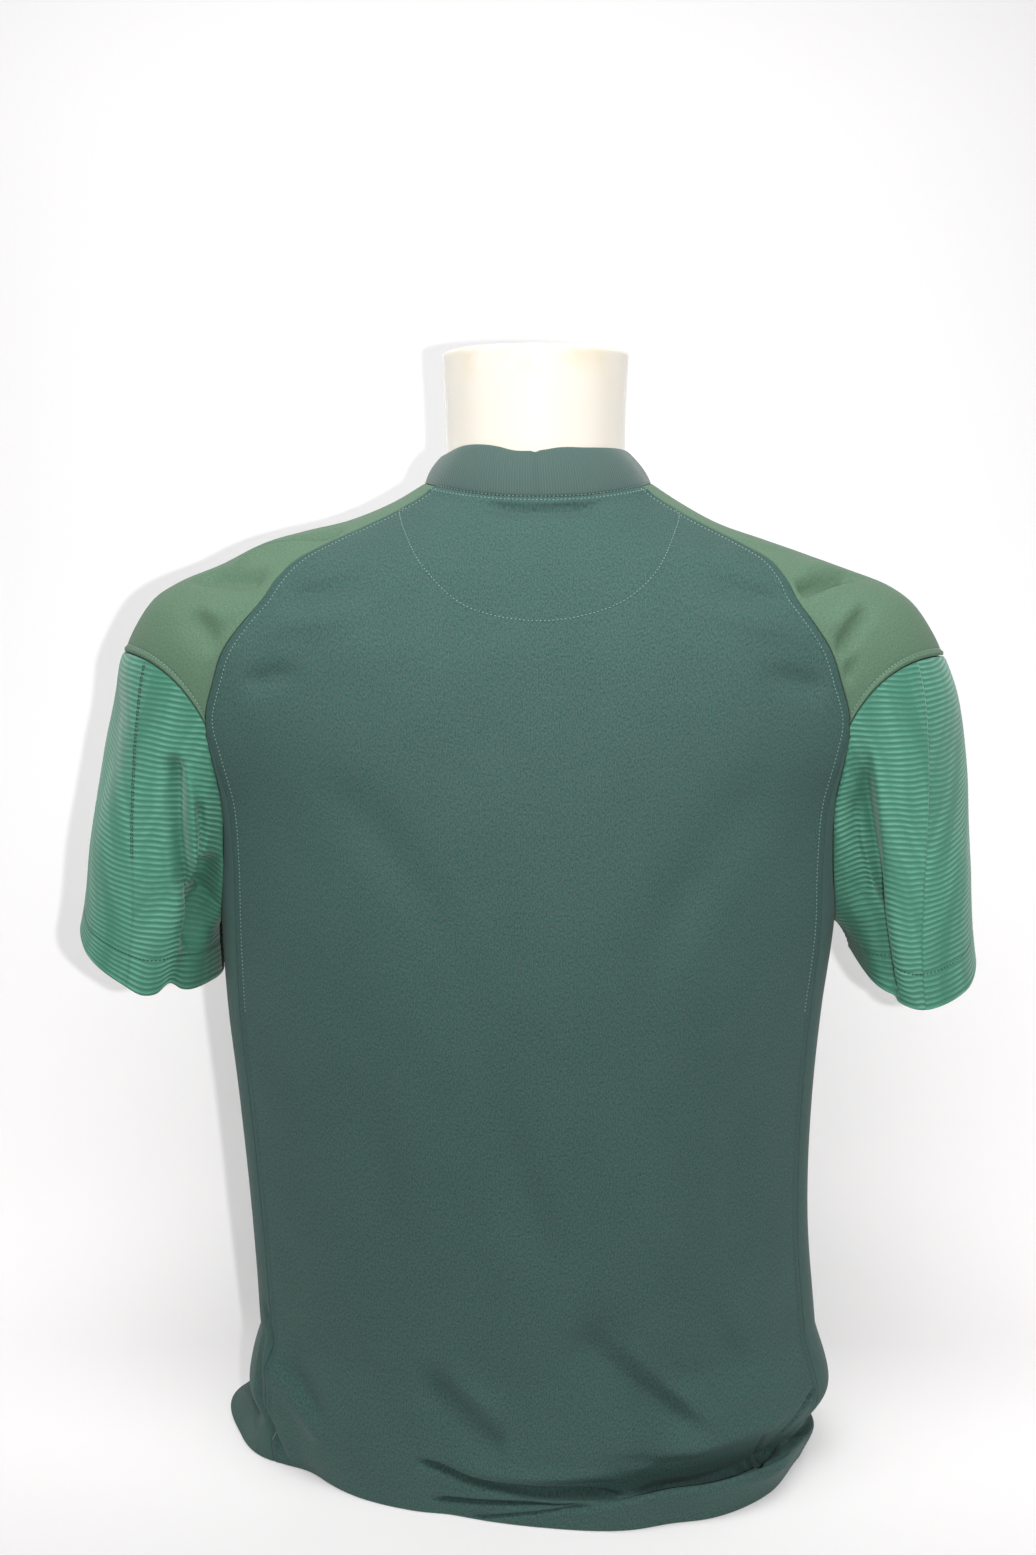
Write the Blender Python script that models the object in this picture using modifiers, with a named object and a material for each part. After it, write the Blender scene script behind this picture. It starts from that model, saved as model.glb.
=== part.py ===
"""Soccer jersey on a limbless torso form.

The jersey hangs on a smooth hollow-necked form that stands on a flat surface. Back, front, side and
saddle panels, ribbed sleeves and a stand collar are walls of cloth, parted from each other by a
hair at every seam. The lowest part of the body is too long for the form, so it gathers on the
surface in a bulge, a tuck and a last roll.

Metres, +Z up. The wearer faces -Y, the wearer's left is +X, and the origin is the centre of the
form's flat base.
"""

from collections import namedtuple

import bmesh
import bpy
import numpy as np

# ---------------------------------------------------------------------------------------------
# Driving dimensions
# ---------------------------------------------------------------------------------------------

CLOTH = 0.0015  # wall of a body panel, a saddle or a sleeve
SIDE_CLOTH = 0.0011  # thinner knit of the side panels
COLLAR_CLOTH = 0.0020  # double knit
SEAM_GAP = 0.0003  # between two pieces at a seam
SIDE_GAP = 0.0005  # taken off a side panel's long edges, where the body's wall turns fastest
ANGLED_GAP = 0.0006  # between a sleeve and the body, which meet at an angle
TABLE_GAP = 0.0005  # lowest edge of the cloth above the surface
EAR_TIP = 0.008  # length by which a side panel's two pointed upper ends are blunted
EAR_GAP = 0.0009  # between those ends and the panel beside them

RIB_PITCH = 0.0036  # sleeve knit, one rib to the next
RIB_HEIGHT = 0.0005
INNER_PITCH = 0.0072  # rows of a sleeve's plain inside
SHORTEST_STEP = 0.45  # of a sleeve's rows, in parts of their pitch, where the slanted seam cuts them

HEM_TOP = 0.085  # the body is one plain tube above this height and gathers below it
ARMPIT = 0.358  # height of the lowest point of the armhole
ARMHOLE_CORNER = 0.490  # height where the raglan, side and sleeve seams meet
PANEL_POWER = 2.5  # how squarely a panel's cross-section turns towards its side seams
ARMHOLE_POWER = 5.5  # how squarely the armhole drops from its corner to the armpit
NECK_BEND_BACK = 0.53  # heights from which the panels bend in to the neck seam
NECK_BEND_FRONT = 0.42
NECK_BEND_SADDLE = 0.3  # part of a saddle's length that does the same
SIDE_PULL = 1.1  # how far, in parts of its chord, a side panel keeps the direction it leaves a seam in
SLEEVE_PULL = 1.1  # the same for a sleeve at the armhole
UNDERARM_PULL = 0.7  # and for its underarm
UNDERARM_SHARE = 0.25  # part of the armhole's lower edge over which the one turns into the other
LOOK_BACK = 0.03  # how far back, in parts of a surface, the direction at its edge is taken
LOOK_BELOW = 0.002  # how far below, in metres
LOOK_BESIDE = 6.0  # how far to both sides around a sleeve, in degrees

# Neck seam, where the collar is sewn to the panels.
NECK_MIDDLE_X = -0.0015
NECK_HALF_WIDTH = 0.0730
NECK_BACK = 0.062
NECK_FRONT = 0.085
NECK_SIDE_HEIGHT = 0.641
NECK_BACK_DROP = 0.012
NECK_FRONT_DROP = 0.073
NECK_POWER = 2.3
RAGLAN_NECK_X = 0.0647  # the raglan seams end on the neck seam this far from the middle

# Free upper edge of the collar.
COLLAR_TOP_HALF_WIDTH = 0.0617
COLLAR_TOP_BACK = 0.0580
COLLAR_TOP_FRONT = 0.0790
COLLAR_TOP_SIDE_HEIGHT = 0.6620
COLLAR_TOP_BACK_DROP = 0.0040
COLLAR_TOP_FRONT_DROP = 0.0660
COLLAR_BULGE = 0.0015
COLLAR_GAP = 0.0005  # above the neck seam, where the collar turns up out of the panels

BodyRow = namedtuple("BodyRow", "height seam_x back_seam_y back_y front_seam_y front_y side_x middle_x")
BODY = (
    BodyRow(0.085, 0.1740, 0.049, 0.122, -0.047, -0.112, 0.1860, -0.0020),
    BodyRow(0.160, 0.1735, 0.049, 0.121, -0.047, -0.109, 0.1850, 0.0035),
    BodyRow(0.250, 0.1780, 0.051, 0.122, -0.049, -0.108, 0.1895, 0.0065),
    BodyRow(0.300, 0.1820, 0.053, 0.124, -0.051, -0.110, 0.1945, 0.0070),
    BodyRow(0.360, 0.1860, 0.056, 0.126, -0.054, -0.114, 0.2000, 0.0050),
    BodyRow(0.403, 0.1860, 0.060, 0.126, -0.057, -0.116, 0.2010, 0.0050),
    BodyRow(0.440, 0.1880, 0.066, 0.125, -0.062, -0.117, 0.2030, 0.0050),
    BodyRow(0.470, 0.1950, 0.072, 0.123, -0.067, -0.116, 0.2060, 0.0050),
    BodyRow(0.490, 0.1990, 0.074, 0.121, -0.068, -0.115, 0.2080, 0.0055),
    BodyRow(0.515, 0.1930, 0.079, 0.117, -0.071, -0.112, 0.0, 0.0060),
    BodyRow(0.537, 0.1850, 0.081, 0.112, -0.072, -0.109, 0.0, 0.0060),
    BodyRow(0.551, 0.1755, 0.080, 0.107, -0.070, -0.106, 0.0, 0.0055),
    BodyRow(0.566, 0.1640, 0.076, 0.101, -0.067, -0.103, 0.0, 0.0045),
    BodyRow(0.580, 0.1560, 0.070, 0.095, -0.062, -0.099, 0.0, 0.0035),
    BodyRow(0.592, 0.1450, 0.062, 0.089, -0.056, -0.096, 0.0, 0.0025),
    BodyRow(0.602, 0.1280, 0.052, 0.083, -0.048, -0.092, 0.0, 0.0020),
    BodyRow(0.612, 0.1080, 0.043, 0.077, -0.043, -0.088, 0.0, 0.0010),
    BodyRow(0.624, 0.0850, 0.037, 0.070, -0.041, -0.082, 0.0, 0.0),
    BodyRow(0.640, 0.0605, 0.034, 0.058, -0.038, -0.074, 0.0, 0.0),
)

# Crest of each shoulder from the collar out to the top of the sleeve seam.
CrestRow = namedtuple("CrestRow", "step x y height")
LEFT_CREST = (
    CrestRow(0.00, 0.0715, 0.000, 0.6410),
    CrestRow(0.10, 0.0920, 0.000, 0.6290),
    CrestRow(0.22, 0.1200, 0.001, 0.6175),
    CrestRow(0.35, 0.1490, 0.002, 0.6105),
    CrestRow(0.47, 0.1750, 0.003, 0.6030),
    CrestRow(0.60, 0.2030, 0.004, 0.5890),
    CrestRow(0.73, 0.2300, 0.004, 0.5775),
    CrestRow(0.84, 0.2480, 0.003, 0.5650),
    CrestRow(0.92, 0.2590, 0.002, 0.5490),
    CrestRow(1.00, 0.2670, 0.000, 0.5330),
)
RIGHT_CREST = (
    CrestRow(0.00, 0.0745, 0.000, 0.6410),
    CrestRow(0.10, 0.0930, 0.000, 0.6290),
    CrestRow(0.22, 0.1180, 0.001, 0.6150),
    CrestRow(0.35, 0.1470, 0.002, 0.6050),
    CrestRow(0.47, 0.1730, 0.003, 0.5960),
    CrestRow(0.60, 0.2010, 0.004, 0.5860),
    CrestRow(0.73, 0.2290, 0.004, 0.5745),
    CrestRow(0.84, 0.2460, 0.003, 0.5610),
    CrestRow(0.92, 0.2570, 0.002, 0.5450),
    CrestRow(1.00, 0.2650, 0.000, 0.5300),
)
SLEEVE_SEAM_START = (0.42, 0.15, 0.88)  # direction in which the sleeve seam leaves its corner
SLEEVE_SEAM_START_STEP = 0.45  # step of the saddle from which its rows turn to that direction
SLEEVE_SEAM_REACH = 1.55  # how far the sleeve seam keeps that direction, in parts of its chord

# Cross-section of the gathered hem by the direction from the middle (degrees from +X towards +Y):
# distances out from the tube at HEM_TOP, and heights.
HemRow = namedtuple(
    "HemRow", "turn bulge_out bulge_height tuck_out tuck_height crest_out crest_height hem_out"
)
HEM = (
    HemRow(-75, 0.006, 0.046, 0.003, 0.024, 0.008, 0.015, 0.012),
    HemRow(-45, 0.008, 0.046, 0.002, 0.023, 0.010, 0.016, 0.017),
    HemRow(-12, 0.012, 0.047, -0.001, 0.022, 0.016, 0.018, 0.038),
    HemRow(4, 0.009, 0.046, 0.000, 0.023, 0.008, 0.014, 0.015),
    HemRow(20, 0.005, 0.045, 0.003, 0.027, 0.001, 0.013, -0.003),
    HemRow(42, 0.003, 0.045, 0.003, 0.029, 0.002, 0.014, 0.000),
    HemRow(70, 0.003, 0.045, 0.003, 0.028, 0.003, 0.014, 0.002),
    HemRow(90, 0.005, 0.045, 0.005, 0.022, 0.011, 0.016, 0.010),
    HemRow(110, 0.007, 0.046, 0.004, 0.016, 0.019, 0.021, 0.017),
    HemRow(130, 0.009, 0.047, 0.003, 0.014, 0.023, 0.024, 0.020),
    HemRow(150, 0.011, 0.048, 0.000, 0.017, 0.019, 0.023, 0.013),
    HemRow(166, 0.010, 0.048, -0.004, 0.022, 0.003, 0.019, -0.005),
    HemRow(182, 0.009, 0.048, -0.004, 0.026, -0.002, 0.016, -0.006),
    HemRow(205, 0.010, 0.047, 0.001, 0.025, 0.007, 0.015, 0.009),
    HemRow(240, 0.006, 0.046, 0.002, 0.023, 0.010, 0.016, 0.016),
)

FOLD_FADE = 0.3  # part of a trough's length over which it fades in and out at each end

# Soft troughs pressed into the body, each a line across the cloth (x and height at both ends).
FoldRow = namedtuple("FoldRow", "face x_start height_start x_end height_end depth half_width")
FOLDS = (
    FoldRow(1, -0.038, 0.122, -0.112, 0.052, 0.0045, 0.012),
    FoldRow(1, 0.058, 0.082, 0.010, 0.040, 0.0040, 0.011),
    FoldRow(1, 0.160, 0.100, 0.128, 0.045, 0.0035, 0.011),
    FoldRow(-1, 0.070, 0.130, 0.125, 0.060, 0.0040, 0.013),
    FoldRow(-1, -0.060, 0.105, -0.015, 0.050, 0.0040, 0.012),
)

# Free edge of each sleeve: direction around it (degrees, 0 outside, 90 behind, 180 under the arm).
CuffRow = namedtuple("CuffRow", "turn x y height")
LEFT_CUFF = (
    CuffRow(0, 0.2995, 0.006, 0.3430),
    CuffRow(45, 0.2860, 0.053, 0.3290),
    CuffRow(90, 0.2550, 0.070, 0.3190),
    CuffRow(135, 0.2230, 0.050, 0.3170),
    CuffRow(180, 0.2090, 0.002, 0.3190),
    CuffRow(225, 0.2230, -0.046, 0.3210),
    CuffRow(270, 0.2560, -0.064, 0.3240),
    CuffRow(315, 0.2870, -0.044, 0.3360),
)
RIGHT_CUFF = (
    CuffRow(0, 0.2910, 0.006, 0.3330),
    CuffRow(45, 0.2755, 0.054, 0.3190),
    CuffRow(90, 0.2430, 0.070, 0.3090),
    CuffRow(135, 0.2200, 0.047, 0.3190),
    CuffRow(180, 0.2110, 0.002, 0.3330),
    CuffRow(225, 0.2210, -0.044, 0.3270),
    CuffRow(270, 0.2500, -0.062, 0.3220),
    CuffRow(315, 0.2820, -0.044, 0.3270),
)
# Long soft folds of a sleeve: direction around it at the cuff and near the armhole, and depth.
SleeveFold = namedtuple("SleeveFold", "turn_low turn_high depth half_width start end")
LEFT_FOLDS = (
    SleeveFold(126, 112, 0.0055, 14, 0.02, 0.11),
    SleeveFold(95, 100, -0.0025, 13, 0.02, 0.13),
    SleeveFold(235, 245, 0.0045, 13, 0.02, 0.11),
)
RIGHT_FOLDS = (
    SleeveFold(104, 96, 0.0060, 10, 0.00, 0.15),
    SleeveFold(76, 84, -0.0020, 13, 0.02, 0.15),
    SleeveFold(250, 240, 0.0045, 13, 0.02, 0.11),
)
SLEEVE_FADE = 0.03  # length over which such a fold fades in and out
SLEEVE_CORNER_TURN = 100  # where the sleeve's ring meets the armhole's corner
OUTER_SEAM_TURN = 52  # the seam outside, which the twist of the sleeve carries further back at the cuff
SLEEVE_TWIST = 34
SLEEVE_TWIST_WIDTH = 60
SLEEVE_LEAN = (-0.16, 0.0, 0.987)  # direction in which the left sleeve leaves its cuff
UNDERARM_ARRIVE = (-0.88, 0.0, 0.47)  # direction in which its underarm meets the body

# Torso form, by the direction around it: side, back and front lines, then the rings between them.
FormRow = namedtuple("FormRow", "side_x side_height back_y back_height front_y front_height power")
FORM = (
    FormRow(0.1600, 0.000, 0.100, 0.000, -0.090, 0.000, 2.3),
    FormRow(0.1640, 0.060, 0.106, 0.060, -0.096, 0.060, 2.3),
    FormRow(0.1560, 0.150, 0.098, 0.150, -0.095, 0.150, 2.3),
    FormRow(0.1540, 0.230, 0.098, 0.230, -0.098, 0.230, 2.3),
    FormRow(0.1640, 0.310, 0.106, 0.310, -0.102, 0.320, 2.3),
    FormRow(0.1760, 0.380, 0.113, 0.390, -0.105, 0.400, 2.3),
    FormRow(0.1880, 0.440, 0.114, 0.460, -0.105, 0.460, 2.3),
    FormRow(0.2050, 0.490, 0.110, 0.505, -0.101, 0.495, 2.3),
    FormRow(0.2180, 0.530, 0.101, 0.545, -0.095, 0.522, 2.2),
    FormRow(0.2120, 0.566, 0.088, 0.575, -0.087, 0.545, 2.1),
    FormRow(0.1850, 0.5880, 0.076, 0.594, -0.078, 0.562, 2.0),
    FormRow(0.1450, 0.6028, 0.066, 0.607, -0.070, 0.576, 2.0),
    FormRow(0.1050, 0.6160, 0.058, 0.618, -0.065, 0.590, 2.0),
    FormRow(0.0780, 0.6280, 0.0535, 0.630, -0.0605, 0.608, 2.0),
    FormRow(0.0635, 0.6420, 0.0520, 0.643, -0.0590, 0.630, 2.0),
    FormRow(0.0587, 0.6560, 0.0512, 0.656, -0.0582, 0.650, 2.0),
    FormRow(0.0582, 0.6800, 0.0512, 0.680, -0.0582, 0.678, 2.0),
    FormRow(0.0603, 0.7240, 0.0530, 0.724, -0.0600, 0.724, 2.0),
)

# Finishes: base colour (linear), roughness, metallic.
BODY_KNIT = ("body_knit", (0.060, 0.125, 0.110), 0.75, 0.0)
SADDLE_KNIT = ("saddle_knit", (0.145, 0.260, 0.170), 0.75, 0.0)
SLEEVE_RIB = ("sleeve_rib", (0.110, 0.280, 0.200), 0.75, 0.0)
COLLAR_KNIT = ("collar_knit", (0.110, 0.180, 0.165), 0.80, 0.0)
FORM_GLOSS = ("form_gloss", (0.93, 0.90, 0.82), 0.20, 0.0)

# ---------------------------------------------------------------------------------------------
# Smooth lines
# ---------------------------------------------------------------------------------------------


def through(rows, at):
    """Read a smooth line through a table's rows, whose first column is the key, at the keys given."""
    table = np.array(rows, dtype=float)
    keys, values = table[:, 0], table[:, 1:]
    slopes = np.gradient(values, keys, axis=0)
    at = np.clip(np.asarray(at, dtype=float), keys[0], keys[-1])
    low = np.clip(np.searchsorted(keys, at, side="right") - 1, 0, len(keys) - 2)
    span = (keys[low + 1] - keys[low])[..., None]
    step = (at - keys[low])[..., None] / span
    return hermite(values[low], values[low + 1], slopes[low] * span, slopes[low + 1] * span, step)


def around(rows, turn):
    """Read a smooth closed line through a table's rows, keyed by direction in degrees."""
    rows = [tuple(row) for row in rows]
    before = [(row[0] - 360,) + row[1:] for row in rows[-2:]]
    after = [(row[0] + 360,) + row[1:] for row in rows[:2]]
    turn = (np.asarray(turn, dtype=float) - rows[0][0]) % 360 + rows[0][0]
    return through(before + rows + after, turn)


def hermite(start, end, leave, arrive, step):
    """Cubic from start to end with the given end slopes, at step 0 to 1."""
    return (
        start * (2 * step**3 - 3 * step**2 + 1)
        + leave * (step**3 - 2 * step**2 + step)
        + end * (3 * step**2 - 2 * step**3)
        + arrive * (step**3 - step**2)
    )


def unit(vectors):
    """Scale vectors to length 1."""
    return vectors / np.maximum(np.linalg.norm(vectors, axis=-1, keepdims=True), 1e-12)


def ease(value, low, high):
    """0 below low, 1 above high and smooth between."""
    step = np.clip((value - low) / (high - low), 0, 1)
    return step * step * (3 - 2 * step)


# ---------------------------------------------------------------------------------------------
# Body: front, back and side surfaces
# ---------------------------------------------------------------------------------------------


def neck_seam(x, face):
    """Point of the neck seam at x, behind (face 1) or in front (face -1)."""
    reach, drop = (NECK_BACK, NECK_BACK_DROP) if face > 0 else (NECK_FRONT, NECK_FRONT_DROP)
    offset = np.minimum(np.abs(x - NECK_MIDDLE_X) / NECK_HALF_WIDTH, 1)
    share = (1 - offset**NECK_POWER) ** (1 / NECK_POWER)
    return np.stack([x, face * reach * share, NECK_SIDE_HEIGHT - drop * share**2], axis=-1)


def raglan_top(face):
    """Height at which a raglan seam meets the neck seam."""
    return float(neck_seam(np.array(NECK_MIDDLE_X + RAGLAN_NECK_X), face)[2])


def fold_press(points, face):
    """Depth to which the soft troughs press a body surface in, at each point."""
    depth = np.zeros(points.shape[:-1])
    for fold in FOLDS:
        if fold.face != face:
            continue
        start = np.array([fold.x_start, fold.height_start])
        along = np.array([fold.x_end, fold.height_end]) - start
        length = np.linalg.norm(along)
        along = along / length
        offset = points[..., [0, 2]] - start
        position = offset @ along
        across = offset[..., 0] * along[1] - offset[..., 1] * along[0]
        fade = ease(position, -FOLD_FADE * length, FOLD_FADE * length)
        fade = fade * (1 - ease(position, (1 - FOLD_FADE) * length, (1 + FOLD_FADE) * length))
        depth += fold.depth * fade * np.exp(-((across / fold.half_width) ** 2))
    return depth


def panel(across, height, face):
    """Back (face 1) or front (face -1) surface: across -1 to 1 from seam to seam, by seam height.

    A row's depth runs from the seam to the middle as 1 - |across|^PANEL_POWER, and the upper rows
    bend so that the last one is the neck seam.
    """
    across, height = np.broadcast_arrays(np.asarray(across, float), np.asarray(height, float))
    row = through(BODY, height)
    seam_x, middle_x = row[..., 0], row[..., 6]
    seam_y, middle_y = (row[..., 1], row[..., 2]) if face > 0 else (row[..., 3], row[..., 4])
    y = seam_y + (middle_y - seam_y) * (1 - np.abs(across) ** PANEL_POWER)
    points = np.stack([middle_x + across * seam_x, y, height], axis=-1)
    points[..., 1] -= face * fold_press(points, face)

    top = raglan_top(face)
    top_row = through(BODY, top)
    top_seam_y, top_middle_y = (top_row[1], top_row[2]) if face > 0 else (top_row[3], top_row[4])
    top_y = top_seam_y + (top_middle_y - top_seam_y) * (1 - np.abs(across) ** PANEL_POWER)
    flat = np.stack([across * top_row[0] + top_row[6], top_y, np.full_like(y, top)], axis=-1)
    bend_start = NECK_BEND_BACK if face > 0 else NECK_BEND_FRONT
    bend = np.clip((height - bend_start) / (top - bend_start), 0, 1)[..., None] ** 2
    return points + bend * (neck_seam(NECK_MIDDLE_X + across * RAGLAN_NECK_X, face) - flat)


def side_surface(around_side, height, hand):
    """Side surface: around_side 1 at the back seam, -1 at the front seam; hand 1 is the left."""
    around_side, height = np.broadcast_arrays(around_side, height)
    row = through(BODY, height)
    middle = row[..., 6]
    outermost = np.stack([middle + hand * row[..., 5], np.full_like(middle, 0.001), height], axis=-1)
    points = np.zeros(outermost.shape)
    for face, chosen in ((1, around_side >= 0), (-1, around_side < 0)):
        seam = panel(np.full_like(height, hand), height, face)
        inboard = panel(np.full_like(height, hand * (1 - LOOK_BACK)), height, face)
        chord = np.linalg.norm(outermost - seam, axis=-1, keepdims=True)
        leave = unit(seam - inboard) * chord * SIDE_PULL
        arrive = np.array([0.0, -face, 0.0]) * chord * SIDE_PULL
        half = hermite(seam, outermost, leave, arrive, (1 - np.abs(around_side))[..., None])
        points[chosen] = half[chosen]
    return points


def armhole_height(around_side):
    """Height of the armhole's lower edge, the upper edge of a side panel."""
    return ARMPIT + (ARMHOLE_CORNER - ARMPIT) * np.abs(around_side) ** ARMHOLE_POWER


def gathered(ring, steps):
    """Rows of the gathered hem under a ring of the tube at HEM_TOP.

    Each direction has its own profile, smooth through the bulge, the tuck, the crest of the last
    roll and the hem's edge. steps run from 0 (HEM_TOP) to 4 (the edge).
    """
    turn = np.degrees(np.arctan2(ring[:, 1], ring[:, 0]))
    shape = around(HEM, turn)
    edge_slope = unit(np.stack([shape[:, 6] - shape[:, 4], -shape[:, 5]], axis=-1))
    edge_height = TABLE_GAP + CLOTH * np.clip(edge_slope[:, 0], 0, 1)
    out = np.stack([np.zeros_like(turn), shape[:, 0], shape[:, 2], shape[:, 4], shape[:, 6]])
    height = np.stack([np.full_like(turn, HEM_TOP), shape[:, 1], shape[:, 3], shape[:, 5], edge_height])
    knots = np.arange(5.0)[:, None]
    profile_out = through(np.hstack([knots, out]), steps)
    profile_height = through(np.hstack([knots, height]), steps)
    points = ring[None] + ring_outward(ring)[None] * profile_out[..., None]
    points[..., 2] = profile_height
    return points


def ring_outward(ring):
    """Level directions that point out of the tube at HEM_TOP, taken as an oval."""
    last = BODY[0]
    depth = np.where(ring[:, 1] > 0, last.back_y, -last.front_y)
    x_share = (ring[:, 0] - last.middle_x) / last.side_x**2
    return unit(np.stack([x_share, ring[:, 1] / depth**2, np.zeros(len(ring))], axis=-1))


# ---------------------------------------------------------------------------------------------
# Saddle and sleeve surfaces
# ---------------------------------------------------------------------------------------------


def crest_line(step, hand):
    """Crest of the shoulder, step 0 at the collar and 1 at the sleeve seam."""
    line = through(LEFT_CREST if hand > 0 else RIGHT_CREST, step)
    return line * np.array([hand, 1.0, 1.0])


def raglan_line(step, face, hand):
    """Raglan seam, step 0 at the collar and 1 at the armhole's corner, evenly by length."""
    heights = np.linspace(raglan_top(face), ARMHOLE_CORNER, 200)
    dense = panel(np.ones_like(heights), heights, face)
    lengths = np.concatenate([[0], np.cumsum(np.linalg.norm(np.diff(dense, axis=0), axis=1))])
    at = np.interp(np.asarray(step) * lengths[-1], lengths, heights)
    return panel(np.full_like(at, hand), at, face), at


def saddle(step, across, hand):
    """Saddle panel: step 0 at the collar, 1 at the sleeve; across 1 at the back seam, -1 in front.

    Each half of a row is a cubic that leaves the raglan seam as the panel beside it arrives, and
    crosses the crest of the shoulder level, front to back. The first rows bend to the neck seam.
    """
    step, across = np.broadcast_arrays(np.asarray(step, float), np.asarray(across, float))
    crest = crest_line(step, hand)
    points = np.zeros(step.shape + (3,))
    for face, chosen in ((1, across >= 0), (-1, across < 0)):
        seam, heights = raglan_line(step, face, hand)
        inboard = panel(np.full_like(heights, hand * (1 - LOOK_BACK)), heights, face)
        below = panel(np.full_like(heights, hand), heights - LOOK_BELOW, face)
        along = unit(below - seam)
        leave = unit(seam - inboard)
        leave = unit(leave - along * np.sum(leave * along, axis=-1, keepdims=True))
        corner = unit(np.array(SLEEVE_SEAM_START) * (hand, face, 1.0))
        share = ease(step, SLEEVE_SEAM_START_STEP, 1.0)[..., None]
        leave = unit(leave * (1 - share) + corner * share)
        chord = np.linalg.norm(crest - seam, axis=-1, keepdims=True)
        reach = 1.0 + (SLEEVE_SEAM_REACH - 1.0) * share
        arrive = np.array([0.0, -face, 0.0]) * chord * reach
        half = hermite(seam, crest, leave * chord * reach, arrive, (1 - np.abs(across))[..., None])
        points[chosen] = half[chosen]
    neck = saddle_neck(across, hand)
    seam_back = raglan_line(0.0, 1, hand)[0]
    seam_front = raglan_line(0.0, -1, hand)[0]
    first = saddle_first_row(across, hand, seam_back, seam_front)
    return points + (np.clip(1 - step / NECK_BEND_SADDLE, 0, 1)[..., None] ** 2) * (neck - first)


def saddle_first_row(across, hand, seam_back, seam_front):
    """The saddle's row at the collar before it is bent onto the neck seam."""
    crest = crest_line(0.0, hand)
    points = np.zeros(across.shape + (3,))
    for face, seam, chosen in ((1, seam_back, across >= 0), (-1, seam_front, across < 0)):
        height = raglan_top(face)
        inboard = panel(hand * (1 - LOOK_BACK), height, face)
        along = unit(panel(float(hand), height - LOOK_BELOW, face) - seam)
        leave = unit(seam - inboard)
        leave = unit(leave - along * np.sum(leave * along))
        chord = np.linalg.norm(crest - seam)
        arrive = np.array([0.0, -face, 0.0]) * chord
        half = hermite(seam, crest, leave * chord, arrive, (1 - np.abs(across))[..., None])
        points[chosen] = half[chosen]
    return points


def saddle_end_share():
    """How far towards the middle, front or back, the neck seam runs where a raglan seam ends on it."""
    return (1 - (RAGLAN_NECK_X / NECK_HALF_WIDTH) ** NECK_POWER) ** (1 / NECK_POWER)


def saddle_neck(across, hand):
    """Neck seam over the end of a saddle panel."""
    points = np.zeros(across.shape + (3,))
    for face, chosen in ((1, across >= 0), (-1, across < 0)):
        share = np.abs(across) * saddle_end_share()
        x = NECK_HALF_WIDTH * (1 - share**NECK_POWER) ** (1 / NECK_POWER)
        half = neck_seam(NECK_MIDDLE_X + hand * x, face)
        points[chosen] = half[chosen]
    return points


def armhole(turn, hand):
    """Closed armhole ring of a sleeve, by direction around it, and the way cloth arrives there."""
    turn = np.asarray(turn, float) % 360
    corner = SLEEVE_CORNER_TURN
    signed = np.where(turn > 180, turn - 360, turn)
    over = np.clip(signed / corner, -1, 1)
    top = saddle(np.ones_like(over), over, hand)
    top_arrive = unit(saddle(np.full_like(over, 1 - LOOK_BACK), over, hand) - top)
    under = np.clip((180 - turn) / (180 - corner), -1, 1)
    low = side_surface(under, armhole_height(under), hand)
    share = ease(1 - np.abs(under), 0.0, UNDERARM_SHARE)[..., None]
    corners = np.array([-1.0, 1.0])
    up = unit(saddle(1 - LOOK_BACK, corners, hand) - saddle(1.0, corners, hand))[(under > 0).astype(int)]
    inward = np.array(UNDERARM_ARRIVE) * (hand, 1.0, 1.0)
    low_arrive = unit(up * (1 - share) + inward * share)
    low_arrive = low_arrive * (SLEEVE_PULL * (1 - share) + UNDERARM_PULL * share)
    is_top = (np.abs(signed) <= corner)[..., None]
    return np.where(is_top, top, low), np.where(is_top, top_arrive * SLEEVE_PULL, low_arrive)


def sleeve(turn, hand, cuff, folds, samples=80):
    """Dense columns of a sleeve from cuff to armhole, one for each direction in turn."""
    turn = np.asarray(turn, float)
    away = (turn - OUTER_SEAM_TURN + 180) % 360 - 180
    low_turn = turn + SLEEVE_TWIST * np.exp(-((away / SLEEVE_TWIST_WIDTH) ** 2))
    low = around(cuff, low_turn % 360) * np.array([hand, 1.0, 1.0])
    high, arrive = armhole(turn, hand)
    chord = np.linalg.norm(high - low, axis=-1, keepdims=True)
    lean = np.array(SLEEVE_LEAN) * (hand, 1.0, 1.0)
    step = np.linspace(0, 1, samples)[:, None, None]
    columns = hermite(low, high, lean * chord, arrive * chord, step)
    middle = np.mean(columns, axis=1, keepdims=True)
    outward = unit((columns - middle) * np.array([1.0, 1.0, 0.0]))
    lengths = column_lengths(columns)
    total = lengths[-1]
    for fold in folds:
        share = lengths / np.maximum(total, 1e-6)
        centre = fold.turn_low + (fold.turn_high - fold.turn_low) * share
        gap = (turn[None] - centre + 180) % 360 - 180
        fade = ease(lengths, fold.start - SLEEVE_FADE, fold.start + SLEEVE_FADE)
        fade = fade * (1 - ease(lengths, fold.end - SLEEVE_FADE, fold.end + SLEEVE_FADE))
        fade = fade * ease(total - lengths, 0.0, SLEEVE_FADE)
        press = fold.depth * fade * np.exp(-((gap / fold.half_width) ** 2))
        columns = columns - outward * press[..., None]
    return columns


def column_lengths(columns):
    """Running length of each column of points."""
    steps = np.linalg.norm(np.diff(columns, axis=0), axis=-1)
    return np.concatenate([np.zeros((1, columns.shape[1])), np.cumsum(steps, axis=0)])


# ---------------------------------------------------------------------------------------------
# Objects
# ---------------------------------------------------------------------------------------------


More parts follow.
